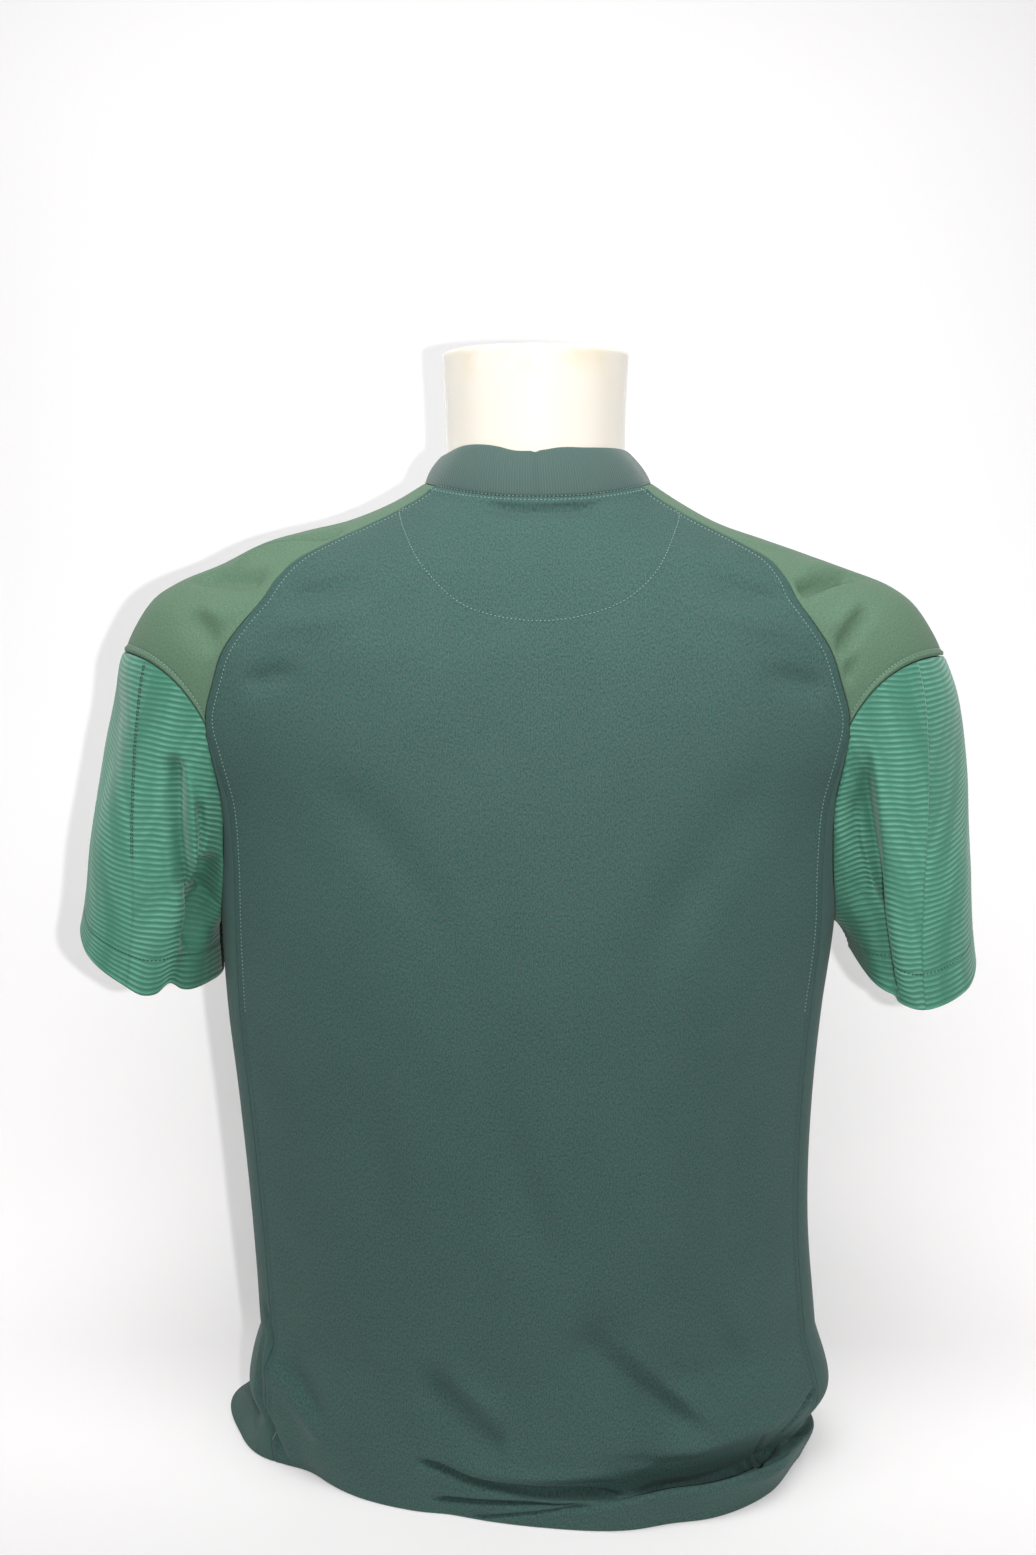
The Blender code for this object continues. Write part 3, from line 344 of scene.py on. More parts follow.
@dataclass(frozen=True)
class Cut:
    """The jersey's smooth surfaces, worked out from its sizes as its solids are."""

    seam_gap: float = 0.0003
    angled_gap: float = 0.0006
    table_gap: float = 0.0005
    cloth: float = 0.0015
    hem_top: float = 0.085
    hem_fall: float = 0.04  # height of one step of the hem, so that levels run on above it
    armpit: float = 0.358
    corner: float = 0.490
    panel_power: float = 2.5
    armhole_power: float = 5.5
    neck_bend_back: float = 0.53
    neck_bend_front: float = 0.42
    neck_bend_saddle: float = 0.3
    side_pull: float = 1.1
    side_y: float = 0.001  # of the outermost line of the sides
    sleeve_pull: float = 1.1
    underarm_pull: float = 0.7
    underarm_share: float = 0.25
    look_back: float = 0.03
    look_below: float = 0.002
    fold_fade: float = 0.3
    neck_middle_x: float = -0.0015
    neck_half_width: float = 0.0730
    neck_back: float = 0.062
    neck_front: float = 0.085
    neck_side_height: float = 0.641
    neck_back_drop: float = 0.012
    neck_front_drop: float = 0.073
    neck_power: float = 2.3
    raglan_neck_x: float = 0.0647
    seam_start: tuple[float, float, float] = (0.42, 0.15, 0.88)
    seam_start_step: float = 0.45
    seam_reach: float = 1.55
    sleeve_fade: float = 0.03
    corner_turn: float = 100.0
    outer_turn: float = 52.0
    twist: float = 34.0
    twist_width: float = 60.0
    lean: tuple[float, float, float] = (-0.16, 0.0, 0.987)
    underarm_arrive: tuple[float, float, float] = (-0.88, 0.0, 0.47)
    body: tuple[BodyRow, ...] = table(
        BodyRow,
        (0.085, 0.1740, 0.049, 0.122, -0.047, -0.112, 0.1860, -0.0020),
        (0.160, 0.1735, 0.049, 0.121, -0.047, -0.109, 0.1850, 0.0035),
        (0.250, 0.1780, 0.051, 0.122, -0.049, -0.108, 0.1895, 0.0065),
        (0.300, 0.1820, 0.053, 0.124, -0.051, -0.110, 0.1945, 0.0070),
        (0.360, 0.1860, 0.056, 0.126, -0.054, -0.114, 0.2000, 0.0050),
        (0.403, 0.1860, 0.060, 0.126, -0.057, -0.116, 0.2010, 0.0050),
        (0.440, 0.1880, 0.066, 0.125, -0.062, -0.117, 0.2030, 0.0050),
        (0.470, 0.1950, 0.072, 0.123, -0.067, -0.116, 0.2060, 0.0050),
        (0.490, 0.1990, 0.074, 0.121, -0.068, -0.115, 0.2080, 0.0055),
        (0.515, 0.1930, 0.079, 0.117, -0.071, -0.112, 0.0, 0.0060),
        (0.537, 0.1850, 0.081, 0.112, -0.072, -0.109, 0.0, 0.0060),
        (0.551, 0.1755, 0.080, 0.107, -0.070, -0.106, 0.0, 0.0055),
        (0.566, 0.1640, 0.076, 0.101, -0.067, -0.103, 0.0, 0.0045),
        (0.580, 0.1560, 0.070, 0.095, -0.062, -0.099, 0.0, 0.0035),
        (0.592, 0.1450, 0.062, 0.089, -0.056, -0.096, 0.0, 0.0025),
        (0.602, 0.1280, 0.052, 0.083, -0.048, -0.092, 0.0, 0.0020),
        (0.612, 0.1080, 0.043, 0.077, -0.043, -0.088, 0.0, 0.0010),
        (0.624, 0.0850, 0.037, 0.070, -0.041, -0.082, 0.0, 0.0),
        (0.640, 0.0605, 0.034, 0.058, -0.038, -0.074, 0.0, 0.0),
    )
    left_crest: tuple[CrestRow, ...] = table(
        CrestRow,
        (0.00, 0.0715, 0.000, 0.6410),
        (0.10, 0.0920, 0.000, 0.6290),
        (0.22, 0.1200, 0.001, 0.6175),
        (0.35, 0.1490, 0.002, 0.6105),
        (0.47, 0.1750, 0.003, 0.6030),
        (0.60, 0.2030, 0.004, 0.5890),
        (0.73, 0.2300, 0.004, 0.5775),
        (0.84, 0.2480, 0.003, 0.5650),
        (0.92, 0.2590, 0.002, 0.5490),
        (1.00, 0.2670, 0.000, 0.5330),
    )
    right_crest: tuple[CrestRow, ...] = table(
        CrestRow,
        (0.00, 0.0745, 0.000, 0.6410),
        (0.10, 0.0930, 0.000, 0.6290),
        (0.22, 0.1180, 0.001, 0.6150),
        (0.35, 0.1470, 0.002, 0.6050),
        (0.47, 0.1730, 0.003, 0.5960),
        (0.60, 0.2010, 0.004, 0.5860),
        (0.73, 0.2290, 0.004, 0.5745),
        (0.84, 0.2460, 0.003, 0.5610),
        (0.92, 0.2570, 0.002, 0.5450),
        (1.00, 0.2650, 0.000, 0.5300),
    )
    hem: tuple[HemRow, ...] = table(
        HemRow,
        (-75, 0.006, 0.046, 0.003, 0.024, 0.008, 0.015, 0.012),
        (-45, 0.008, 0.046, 0.002, 0.023, 0.010, 0.016, 0.017),
        (-12, 0.012, 0.047, -0.001, 0.022, 0.016, 0.018, 0.038),
        (4, 0.009, 0.046, 0.000, 0.023, 0.008, 0.014, 0.015),
        (20, 0.005, 0.045, 0.003, 0.027, 0.001, 0.013, -0.003),
        (42, 0.003, 0.045, 0.003, 0.029, 0.002, 0.014, 0.000),
        (70, 0.003, 0.045, 0.003, 0.028, 0.003, 0.014, 0.002),
        (90, 0.005, 0.045, 0.005, 0.022, 0.011, 0.016, 0.010),
        (110, 0.007, 0.046, 0.004, 0.016, 0.019, 0.021, 0.017),
        (130, 0.009, 0.047, 0.003, 0.014, 0.023, 0.024, 0.020),
        (150, 0.011, 0.048, 0.000, 0.017, 0.019, 0.023, 0.013),
        (166, 0.010, 0.048, -0.004, 0.022, 0.003, 0.019, -0.005),
        (182, 0.009, 0.048, -0.004, 0.026, -0.002, 0.016, -0.006),
        (205, 0.010, 0.047, 0.001, 0.025, 0.007, 0.015, 0.009),
        (240, 0.006, 0.046, 0.002, 0.023, 0.010, 0.016, 0.016),
    )
    folds: tuple[FoldRow, ...] = table(
        FoldRow,
        (1, -0.038, 0.122, -0.112, 0.052, 0.0045, 0.012),
        (1, 0.058, 0.082, 0.010, 0.040, 0.0040, 0.011),
        (1, 0.160, 0.100, 0.128, 0.045, 0.0035, 0.011),
        (-1, 0.070, 0.130, 0.125, 0.060, 0.0040, 0.013),
        (-1, -0.060, 0.105, -0.015, 0.050, 0.0040, 0.012),
    )
    left_cuff: tuple[CuffRow, ...] = table(
        CuffRow,
        (0, 0.2995, 0.006, 0.3430),
        (45, 0.2860, 0.053, 0.3290),
        (90, 0.2550, 0.070, 0.3190),
        (135, 0.2230, 0.050, 0.3170),
        (180, 0.2090, 0.002, 0.3190),
        (225, 0.2230, -0.046, 0.3210),
        (270, 0.2560, -0.064, 0.3240),
        (315, 0.2870, -0.044, 0.3360),
    )
    right_cuff: tuple[CuffRow, ...] = table(
        CuffRow,
        (0, 0.2910, 0.006, 0.3330),
        (45, 0.2755, 0.054, 0.3190),
        (90, 0.2430, 0.070, 0.3090),
        (135, 0.2200, 0.047, 0.3190),
        (180, 0.2110, 0.002, 0.3330),
        (225, 0.2210, -0.044, 0.3270),
        (270, 0.2500, -0.062, 0.3220),
        (315, 0.2820, -0.044, 0.3270),
    )
    left_folds: tuple[SleeveFold, ...] = table(
        SleeveFold,
        (126, 112, 0.0055, 14, 0.02, 0.11),
        (95, 100, -0.0025, 13, 0.02, 0.13),
        (235, 245, 0.0045, 13, 0.02, 0.11),
    )
    right_folds: tuple[SleeveFold, ...] = table(
        SleeveFold,
        (104, 96, 0.0060, 10, 0.00, 0.15),
        (76, 84, -0.0020, 13, 0.02, 0.15),
        (250, 240, 0.0045, 13, 0.02, 0.11),
    )

    def neck_seam(self, x: Array, face: int) -> Array:
        """Neck seam at x: a rounded oval that drops with the square of its depth.

        Args:
            x: places across.
            face: behind (1) or in front (-1).

        Returns:
            Points of the seam.
        """
        behind = face > 0
        reach, drop = (
            (self.neck_back, self.neck_back_drop) if behind else (self.neck_front, self.neck_front_drop)
        )
        offset = np.minimum(np.abs(x - self.neck_middle_x) / self.neck_half_width, 1)
        share = (1 - offset**self.neck_power) ** (1 / self.neck_power)
        return np.stack([x, face * reach * share, self.neck_side_height - drop * share**2], axis=-1)

    def raglan_top(self, face: int) -> float:
        """Height at which a raglan seam meets the neck seam."""
        return float(self.neck_seam(np.array(self.neck_middle_x + self.raglan_neck_x), face)[2])

    def fold_press(self, points: Array, face: int) -> Array:
        """Depth of the soft troughs: a bell across each line, faded in and out along it."""
        depth = np.zeros(points.shape[:-1])
        for fold in self.folds:
            if fold.face != face:
                continue
            start = np.array([fold.x_start, fold.height_start])
            along = np.array([fold.x_end, fold.height_end]) - start
            length = np.linalg.norm(along)
            along = along / length
            offset = points[..., [0, 2]] - start
            position = offset @ along
            across = offset[..., 0] * along[1] - offset[..., 1] * along[0]
            fade = ease(position, -self.fold_fade * length, self.fold_fade * length)
            low, high = (1 - self.fold_fade) * length, (1 + self.fold_fade) * length
            depth += fold.depth * fade * (1 - ease(position, low, high)) * bell(across, fold.half_width)
        return depth

    def panel(self, across: Any, height: Any, face: int) -> Array:
        """Back or front surface.

        A row's depth runs from the seam to the middle as 1 - |across|^power, and the upper rows
        bend, with the square of the height, onto the neck seam.

        Args:
            across: -1 to 1 from seam to seam.
            height: height of the row's ends at the seams.
            face: back (1) or front (-1).

        Returns:
            Points of the surface.
        """
        across, height = np.broadcast_arrays(np.asarray(across, float), np.asarray(height, float))
        rounding = 1 - np.abs(across) ** self.panel_power

        def plain(row: BodyRow) -> Array:
            """Points of the section alone."""
            seam_y, middle_y = row.depths(face)
            y = seam_y + (middle_y - seam_y) * rounding
            level = np.broadcast_to(row.height, y.shape)
            return np.stack([row.middle_x + across * row.seam_x, y, level], axis=-1)

        points = plain(between(self.body, height))
        points[..., 1] -= face * self.fold_press(points, face)
        top = self.raglan_top(face)
        flat = plain(between(self.body, top))
        start = self.neck_bend_back if face > 0 else self.neck_bend_front
        bend = np.clip((height - start) / (top - start), 0, 1)[..., None] ** 2
        return points + bend * (self.neck_seam(self.neck_middle_x + across * self.raglan_neck_x, face) - flat)

    def side(self, around_side: Any, height: Any, hand: int) -> Array:
        """Side surface: two cubics from the outermost line, each leaving a seam as its panel arrives.

        Args:
            around_side: 1 at the back seam to -1 at the front seam.
            height: heights.
            hand: left (1) or right (-1).

        Returns:
            Points of the surface.
        """
        around_side, height = np.broadcast_arrays(np.asarray(around_side, float), np.asarray(height, float))
        row = between(self.body, height)
        outermost_x = row.middle_x + hand * row.side_x
        outermost = np.stack([outermost_x, np.full_like(outermost_x, self.side_y), height], axis=-1)

        def half(face: int) -> Array:
            """Cubic from a seam to the outermost line."""
            seam = self.panel(np.full_like(height, hand), height, face)
            inboard = self.panel(np.full_like(height, hand * (1 - self.look_back)), height, face)
            chord = np.linalg.norm(outermost - seam, axis=-1, keepdims=True)
            leave = unit(seam - inboard) * chord * self.side_pull
            arrive = np.array([0.0, -face, 0.0]) * chord * self.side_pull
            return hermite(seam, outermost, leave, arrive, (1 - np.abs(around_side))[..., None])

        return two_halves(around_side, half)

    def armhole_height(self, around_side: Array) -> Array:
        """Height of the armhole's lower edge: armpit plus the rest times |around|^power."""
        return self.armpit + (self.corner - self.armpit) * np.abs(around_side) ** self.armhole_power

    def gathered(self, ring: Array, steps: Array) -> Array:
        """Gathered hem under a ring: in each direction a smooth profile out from the tube.

        Args:
            ring: points of the tube where the hem starts.
            steps: 0 at the ring, 1 the bulge, 2 the tuck, 3 the last roll's crest, 4 the edge.

        Returns:
            Grid of points, a row for each step.
        """
        turn = np.degrees(np.arctan2(ring[:, 1], ring[:, 0]))
        hem = HemRow(turn, *around(self.hem, turn).T)
        edge_slope = unit(np.stack([hem.hem_out - hem.crest_out, -hem.crest_height], axis=-1))
        edge_height = self.table_gap + self.cloth * np.clip(edge_slope[:, 0], 0, 1)
        top = np.full_like(turn, self.hem_top)
        out = np.stack([np.zeros_like(turn), hem.bulge_out, hem.tuck_out, hem.crest_out, hem.hem_out])
        height = np.stack([top, hem.bulge_height, hem.tuck_height, hem.crest_height, edge_height])
        knots = np.arange(5.0)[:, None]
        profile_out = through(np.hstack([knots, out]), steps)
        points = ring[None] + self.ring_outward(ring)[None] * profile_out[..., None]
        points[..., 2] = through(np.hstack([knots, height]), steps)
        return points

    def ring_outward(self, ring: Array) -> Array:
        """Level directions out of the tube, taken as an oval."""
        last = self.body[0]
        depth = np.where(ring[:, 1] > 0, last.back_y, -last.front_y)
        x_share = (ring[:, 0] - last.middle_x) / last.side_x**2
        return unit(np.stack([x_share, ring[:, 1] / depth**2, np.zeros(len(ring))], axis=-1))

    def body_places(self, places: Array, face: int) -> Array:
        """Points of places on the back or front, given as x and level.

        A level above 0 is a step of the hem. One below 0 is a height over the hem's top, in hem
        falls. x is matched to the panel's width at that height.

        Args:
            places: x and level, one row each.
            face: back (1) or front (-1).

        Returns:
            Points.
        """
        x, level = places[:, 0], places[:, 1]
        height = self.hem_top + self.hem_fall * np.maximum(-level, 0)
        row = between(self.body, height)
        across = (x - row.middle_x) / row.seam_x
        tube = self.panel(across, height, face)
        steps = np.maximum(level, 0)
        hem = self.gathered(tube, steps)[np.arange(len(x)), np.arange(len(x))]
        return np.where((level > 0)[:, None], hem, tube)

    def crest(self, step: Array, hand: int) -> Array:
        """Crest of the shoulder, step 0 at the collar and 1 at the sleeve seam."""
        line = through(self.left_crest if hand > 0 else self.right_crest, step)
        return line * np.array([hand, 1.0, 1.0])

    def raglan(self, step: Any, face: int, hand: int) -> tuple[Array, Array]:
        """Raglan seam, evenly by length.

        Args:
            step: 0 at the collar to 1 at the armhole's corner.
            face: back (1) or front (-1).
            hand: left (1) or right (-1).

        Returns:
            Points and their heights.
        """
        heights = np.linspace(self.raglan_top(face), self.corner, 200)
        dense = self.panel(np.ones_like(heights), heights, face)
        lengths = run_lengths(dense, 0)
        at = np.interp(np.asarray(step) * lengths[-1], lengths, heights)
        return self.panel(np.full_like(at, hand), at, face), at

    def saddle(self, step: Any, across: Any, hand: int) -> Array:
        """Saddle panel, its first rows bent, with the square of the step, onto the neck seam.

        Args:
            step: 0 at the collar to 1 at the sleeve.
            across: 1 at the back seam to -1 at the front seam.
            hand: left (1) or right (-1).

        Returns:
            Points of the surface.
        """
        step, across = np.broadcast_arrays(np.asarray(step, float), np.asarray(across, float))
        bend = np.clip(1 - step / self.neck_bend_saddle, 0, 1)[..., None] ** 2
        start = self.plain_saddle(np.array(0.0), across, hand)
        return self.plain_saddle(step, across, hand) + bend * (self.saddle_neck(across, hand) - start)

    def plain_saddle(self, step: Array, across: Array, hand: int) -> Array:
        """Saddle before it is bent: each half row is a cubic from its raglan seam to the crest.

        It leaves the seam as the panel beside it arrives and crosses the crest level.

        Args:
            step, across, hand: as for the saddle.

        Returns:
            Points of the surface.
        """
        crest = self.crest(step, hand)

        def half(face: int) -> Array:
            """Cubic from a raglan seam to the crest."""
            seam, heights = self.raglan(step, face, hand)
            leave = self.seam_leave(seam, heights, face, hand)
            corner = unit(np.array(self.seam_start) * (hand, face, 1.0))
            share = ease(step, self.seam_start_step, 1.0)[..., None]
            leave = unit(leave * (1 - share) + corner * share)
            chord = np.linalg.norm(crest - seam, axis=-1, keepdims=True)
            reach = 1.0 + (self.seam_reach - 1.0) * share
            arrive = np.array([0.0, -face, 0.0]) * chord * reach
            return hermite(seam, crest, leave * chord * reach, arrive, (1 - np.abs(across))[..., None])

        return two_halves(across, half)

    def seam_leave(self, seam: Array, heights: Array, face: int, hand: int) -> Array:
        """Directions square to a raglan seam in which the panel beside it runs on."""
        inboard = self.panel(np.full_like(heights, hand * (1 - self.look_back)), heights, face)
        below = self.panel(np.full_like(heights, hand), heights - self.look_below, face)
        along, leave = unit(below - seam), unit(seam - inboard)
        return unit(leave - along * np.sum(leave * along, axis=-1, keepdims=True))

    def saddle_neck(self, across: Array, hand: int) -> Array:
        """Neck seam over the end of a saddle panel."""
        end = (1 - (self.raglan_neck_x / self.neck_half_width) ** self.neck_power) ** (1 / self.neck_power)
        share = np.abs(across) * end
        x = self.neck_half_width * (1 - share**self.neck_power) ** (1 / self.neck_power)
        return two_halves(across, lambda face: self.neck_seam(self.neck_middle_x + hand * x, face))

    def armhole(self, turn: Array, hand: int) -> tuple[Array, Array]:
        """Armhole ring: the saddle's end above its corners, the side panel's upper edge below.

        Args:
            turn: direction around the sleeve in degrees, 0 outside, 90 behind, 180 under the arm.
            hand: left (1) or right (-1).

        Returns:
            Points of the ring, and the slopes with which the sleeve's cloth arrives there.
        """
        turn = np.asarray(turn, float) % 360
        signed = np.where(turn > 180, turn - 360, turn)
        over = np.clip(signed / self.corner_turn, -1, 1)
        top = self.saddle(np.ones_like(over), over, hand)
        top_arrive = unit(self.saddle(np.full_like(over, 1 - self.look_back), over, hand) - top)
        under = np.clip((180 - turn) / (180 - self.corner_turn), -1, 1)
        low = self.side(under, self.armhole_height(under), hand)
        share = ease(1 - np.abs(under), 0.0, self.underarm_share)[..., None]
        corners = np.array([-1.0, 1.0])
        up = unit(self.saddle(1 - self.look_back, corners, hand) - self.saddle(1.0, corners, hand))
        inward = np.array(self.underarm_arrive) * (hand, 1.0, 1.0)
        low_arrive = unit(up[(under > 0).astype(int)] * (1 - share) + inward * share)
        low_arrive = low_arrive * (self.sleeve_pull * (1 - share) + self.underarm_pull * share)
        is_top = (np.abs(signed) <= self.corner_turn)[..., None]
        return np.where(is_top, top, low), np.where(is_top, top_arrive * self.sleeve_pull, low_arrive)

    def sleeve(self, turn: Array, hand: int, samples: int = 120) -> tuple[Array, Array, Array]:
        """Sleeve: in each direction a cubic from the cuff to the armhole, with its long folds.

        Args:
            turn: directions around it in degrees.
            hand: left (1) or right (-1).
            samples: points along each column.

        Returns:
            Points, outward normals and distances from the cuff, a column for each direction.
        """
        look = 3.0
        middle, before, after = (self.sleeve_columns(turn + off, hand, samples) for off in (0, -look, look))
        outward = unit(np.cross(after - before, np.gradient(middle, axis=0))) * hand
        lengths = run_lengths(middle, 0)
        press = self.sleeve_press(turn, lengths, hand)
        return middle - outward * press[..., None], outward, lengths

    def sleeve_columns(self, turn: Array, hand: int, samples: int) -> Array:
        """Plain columns of a sleeve, cubics from cuff to armhole."""
        away = (turn - self.outer_turn + 180) % 360 - 180
        low_turn = turn + self.twist * bell(away, self.twist_width)
        cuff = self.left_cuff if hand > 0 else self.right_cuff
        low = around(cuff, low_turn % 360) * np.array([hand, 1.0, 1.0])
        high, arrive = self.armhole(turn, hand)
        chord = np.linalg.norm(high - low, axis=-1, keepdims=True)
        lean = np.array(self.lean) * (hand, 1.0, 1.0)
        step = np.linspace(0, 1, samples)[:, None, None]
        return hermite(low, high, lean * chord, arrive * chord, step)

    def sleeve_press(self, turn: Array, lengths: Array, hand: int) -> Array:
        """Depth of a sleeve's long folds: a bell over the direction, faded along the length."""
        press = np.zeros(lengths.shape)
        total = lengths[-1]
        for fold in self.left_folds if hand > 0 else self.right_folds:
            share = lengths / np.maximum(total, 1e-6)
            centre = fold.turn_low + (fold.turn_high - fold.turn_low) * share
            gap = (turn[None] - centre + 180) % 360 - 180
            fade = ease(lengths, fold.start - self.sleeve_fade, fold.start + self.sleeve_fade)
            fade = fade * (1 - ease(lengths, fold.end - self.sleeve_fade, fold.end + self.sleeve_fade))
            fade = fade * ease(total - lengths, 0.0, self.sleeve_fade)
            press += fold.depth * fade * bell(gap, fold.half_width)
        return press


# ---- Meshes ----


def cell_corners(index: Array) -> Array:
    """Four point numbers around each cell of a grid of point numbers."""
    return np.stack([index[:-1, :-1], index[:-1, 1:], index[1:, 1:], index[1:, :-1]], axis=-1).reshape(-1, 4)


def grid_faces(rows: int, columns: int, flip: bool, closed: bool = False) -> Array:
    """Quads between the points of a grid, numbered row by row.

    Args:
        rows, columns: size of the grid.
        flip: turn the faces round.
        closed: the last column meets the first.

    Returns:
        Four point numbers for each face.
    """
    index = np.arange(rows * columns).reshape(rows, columns)
    if closed:
        index = np.hstack([index, index[:, :1]])
    quads = cell_corners(index)
    return quads[:, ::-1] if flip else quads


def add_mesh(
    name: str, points: Array, faces: Sequence[Array], values: dict[str, Array], places: Array | None = None
) -> bpy.types.Object:
    """Object from points and faces, shaded smooth.

    Args:
        name: name of the object and its mesh.
        points: all points, one row each.
        faces: arrays of quads or triangles.
        values: numbers to keep at each point, by name.
        places: place of each point on the flat cloth in metres, kept as the map "cloth".

    Returns:
        The object, linked to the scene.
    """
    faces = [part for part in faces if len(part)]
    corners = np.concatenate([part.ravel() for part in faces]).astype(np.int32)
    sizes = np.concatenate([np.full(len(part), part.shape[1]) for part in faces])
    mesh = bpy.data.meshes.new(name)
    mesh.vertices.add(len(points))
    mesh.vertices.foreach_set("co", np.ascontiguousarray(points, dtype=np.float32).ravel())
    mesh.loops.add(len(corners))
    mesh.loops.foreach_set("vertex_index", corners)
    mesh.polygons.add(len(sizes))
    mesh.polygons.foreach_set("loop_start", np.concatenate([[0], np.cumsum(sizes)[:-1]]).astype(np.int32))
    mesh.update(calc_edges=True)
    if places is not None:
        layer = mesh.uv_layers.new(name="cloth")
        layer.uv.foreach_set("vector", places[corners].astype(np.float32).ravel())
    for key, value in values.items():
        mesh.attributes.new(key, "FLOAT", "POINT").data.foreach_set("value", value.astype(np.float32).ravel())
    mesh.validate()
    mesh.shade_smooth()
    thing = bpy.data.objects.new(name, mesh)
    bpy.context.scene.collection.objects.link(thing)
    return thing


def add_cloth(
    name: str, points: Array, faces: Sequence[Array], values: dict[str, Array], places: Array,
    look: bpy.types.Material, thickness: float = 0.0,
) -> bpy.types.Object:
    """Piece of cloth with its finish, and its wall inwards from the surface.

    Args:
        name: name of the piece without its last word.
        points, faces, values, places: as for a mesh, as grids or lists.
        look: its material.
        thickness: of the wall; 0 where the mesh is closed already.

    Returns:
        The piece.
    """
    piece = add_mesh(f"{name}_cloth", points.reshape(-1, 3), faces, values, places.reshape(-1, 2))
    piece.data.materials.append(look)
    if thickness:
        wall = piece.modifiers.new("wall", "SOLIDIFY")
        wall.thickness = thickness
        wall.offset = -1.0
        wall.use_even_offset = False
    return piece


def measure(grid: Array) -> tuple[Array, Array, Array, Array]:
    """Lengths over a grid of cloth.

    Args:
        grid: rows and columns of points.

    Returns:
        Running lengths along the rows and down the columns, distances from the nearer side
        edge, and places on the flat cloth, with x from the middle column.
    """
    widths, drops = run_lengths(grid, 1), run_lengths(grid, 0)
    middle = widths[:, widths.shape[1] // 2 : widths.shape[1] // 2 + 1]
    edge = np.minimum(widths, widths[:, -1:] - widths)
    return widths, drops, edge, np.stack([widths - middle, -drops], axis=-1)


def trimmed(grid: Array, first_row: float, columns: float, last_row: float = 0.0) -> Array:
    """Grid with its edges drawn back along its own lines, for the gap of a seam.

    Args:
        grid: rows and columns of points.
        first_row, columns, last_row: how far the first row, both side columns and the last row go.

    Returns:
        The smaller grid.
    """
    grid = grid.copy()
    grid[0] += unit(grid[1] - grid[0]) * first_row
    grid[-1] += unit(grid[-2] - grid[-1]) * last_row
    grid[:, 0] += unit(grid[:, 1] - grid[:, 0]) * columns
    grid[:, -1] += unit(grid[:, -2] - grid[:, -1]) * columns
    return grid


@dataclass
class Sheet:
    """Grid of points of one piece of cloth, with the keys of its rows and columns."""

    rows: Array
    columns: Array
    points: Array
    normals: Array

    def at(self, row: Array, column: Array) -> tuple[Array, Array]:
        """Points and normals at keys, straight between the grid's lines.

        Args:
            row, column: keys, one for each point.

        Returns:
            Points and unit normals.
        """
        row_at = np.interp(row, self.rows, np.arange(len(self.rows)))
        column_at = np.interp(column, self.columns, np.arange(len(self.columns)))
        low_row = np.clip(row_at.astype(int), 0, len(self.rows) - 2)
        low_column = np.clip(column_at.astype(int), 0, len(self.columns) - 2)
        down, over = (row_at - low_row)[:, None], (column_at - low_column)[:, None]

        def blend(grid: Array) -> Array:
            """Mean of a cell's four corners, weighted by the place in it."""
            upper = grid[low_row, low_column] * (1 - over) + grid[low_row, low_column + 1] * over
            lower = grid[low_row + 1, low_column] * (1 - over) + grid[low_row + 1, low_column + 1] * over
            return upper * (1 - down) + lower * down

        return blend(self.points), unit(blend(self.normals))

    def row_line(self, row: float, count: int) -> tuple[Array, Array]:
        """Points and normals straight across the sheet at one row's key, just short of its edges."""
        return self.at(np.full(count, row), np.linspace(-LINE_REACH, LINE_REACH, count))

    def beside(self, rows: Array, distance: float, last: bool) -> tuple[Array, Array]:
        """Points and normals of a line at a distance inside a long edge.

        Args:
            rows: row numbers that the line crosses.
            distance: from the edge, along each row.
            last: from the last column and not the first.

        Returns:
            Points and unit normals.
        """
        grid, facing = self.points[rows], self.normals[rows]
        if last:
            grid, facing = grid[:, ::-1], facing[:, ::-1]
        lengths = run_lengths(grid, 1)
        upper = np.argmax(lengths >= distance, axis=1)
        pick = np.arange(len(rows))
        share = (distance - lengths[pick, upper - 1]) / (lengths[pick, upper] - lengths[pick, upper - 1])
        share = share[:, None]
        points = grid[pick, upper - 1] * (1 - share) + grid[pick, upper] * share
        return points, unit(facing[pick, upper - 1] * (1 - share) + facing[pick, upper] * share)


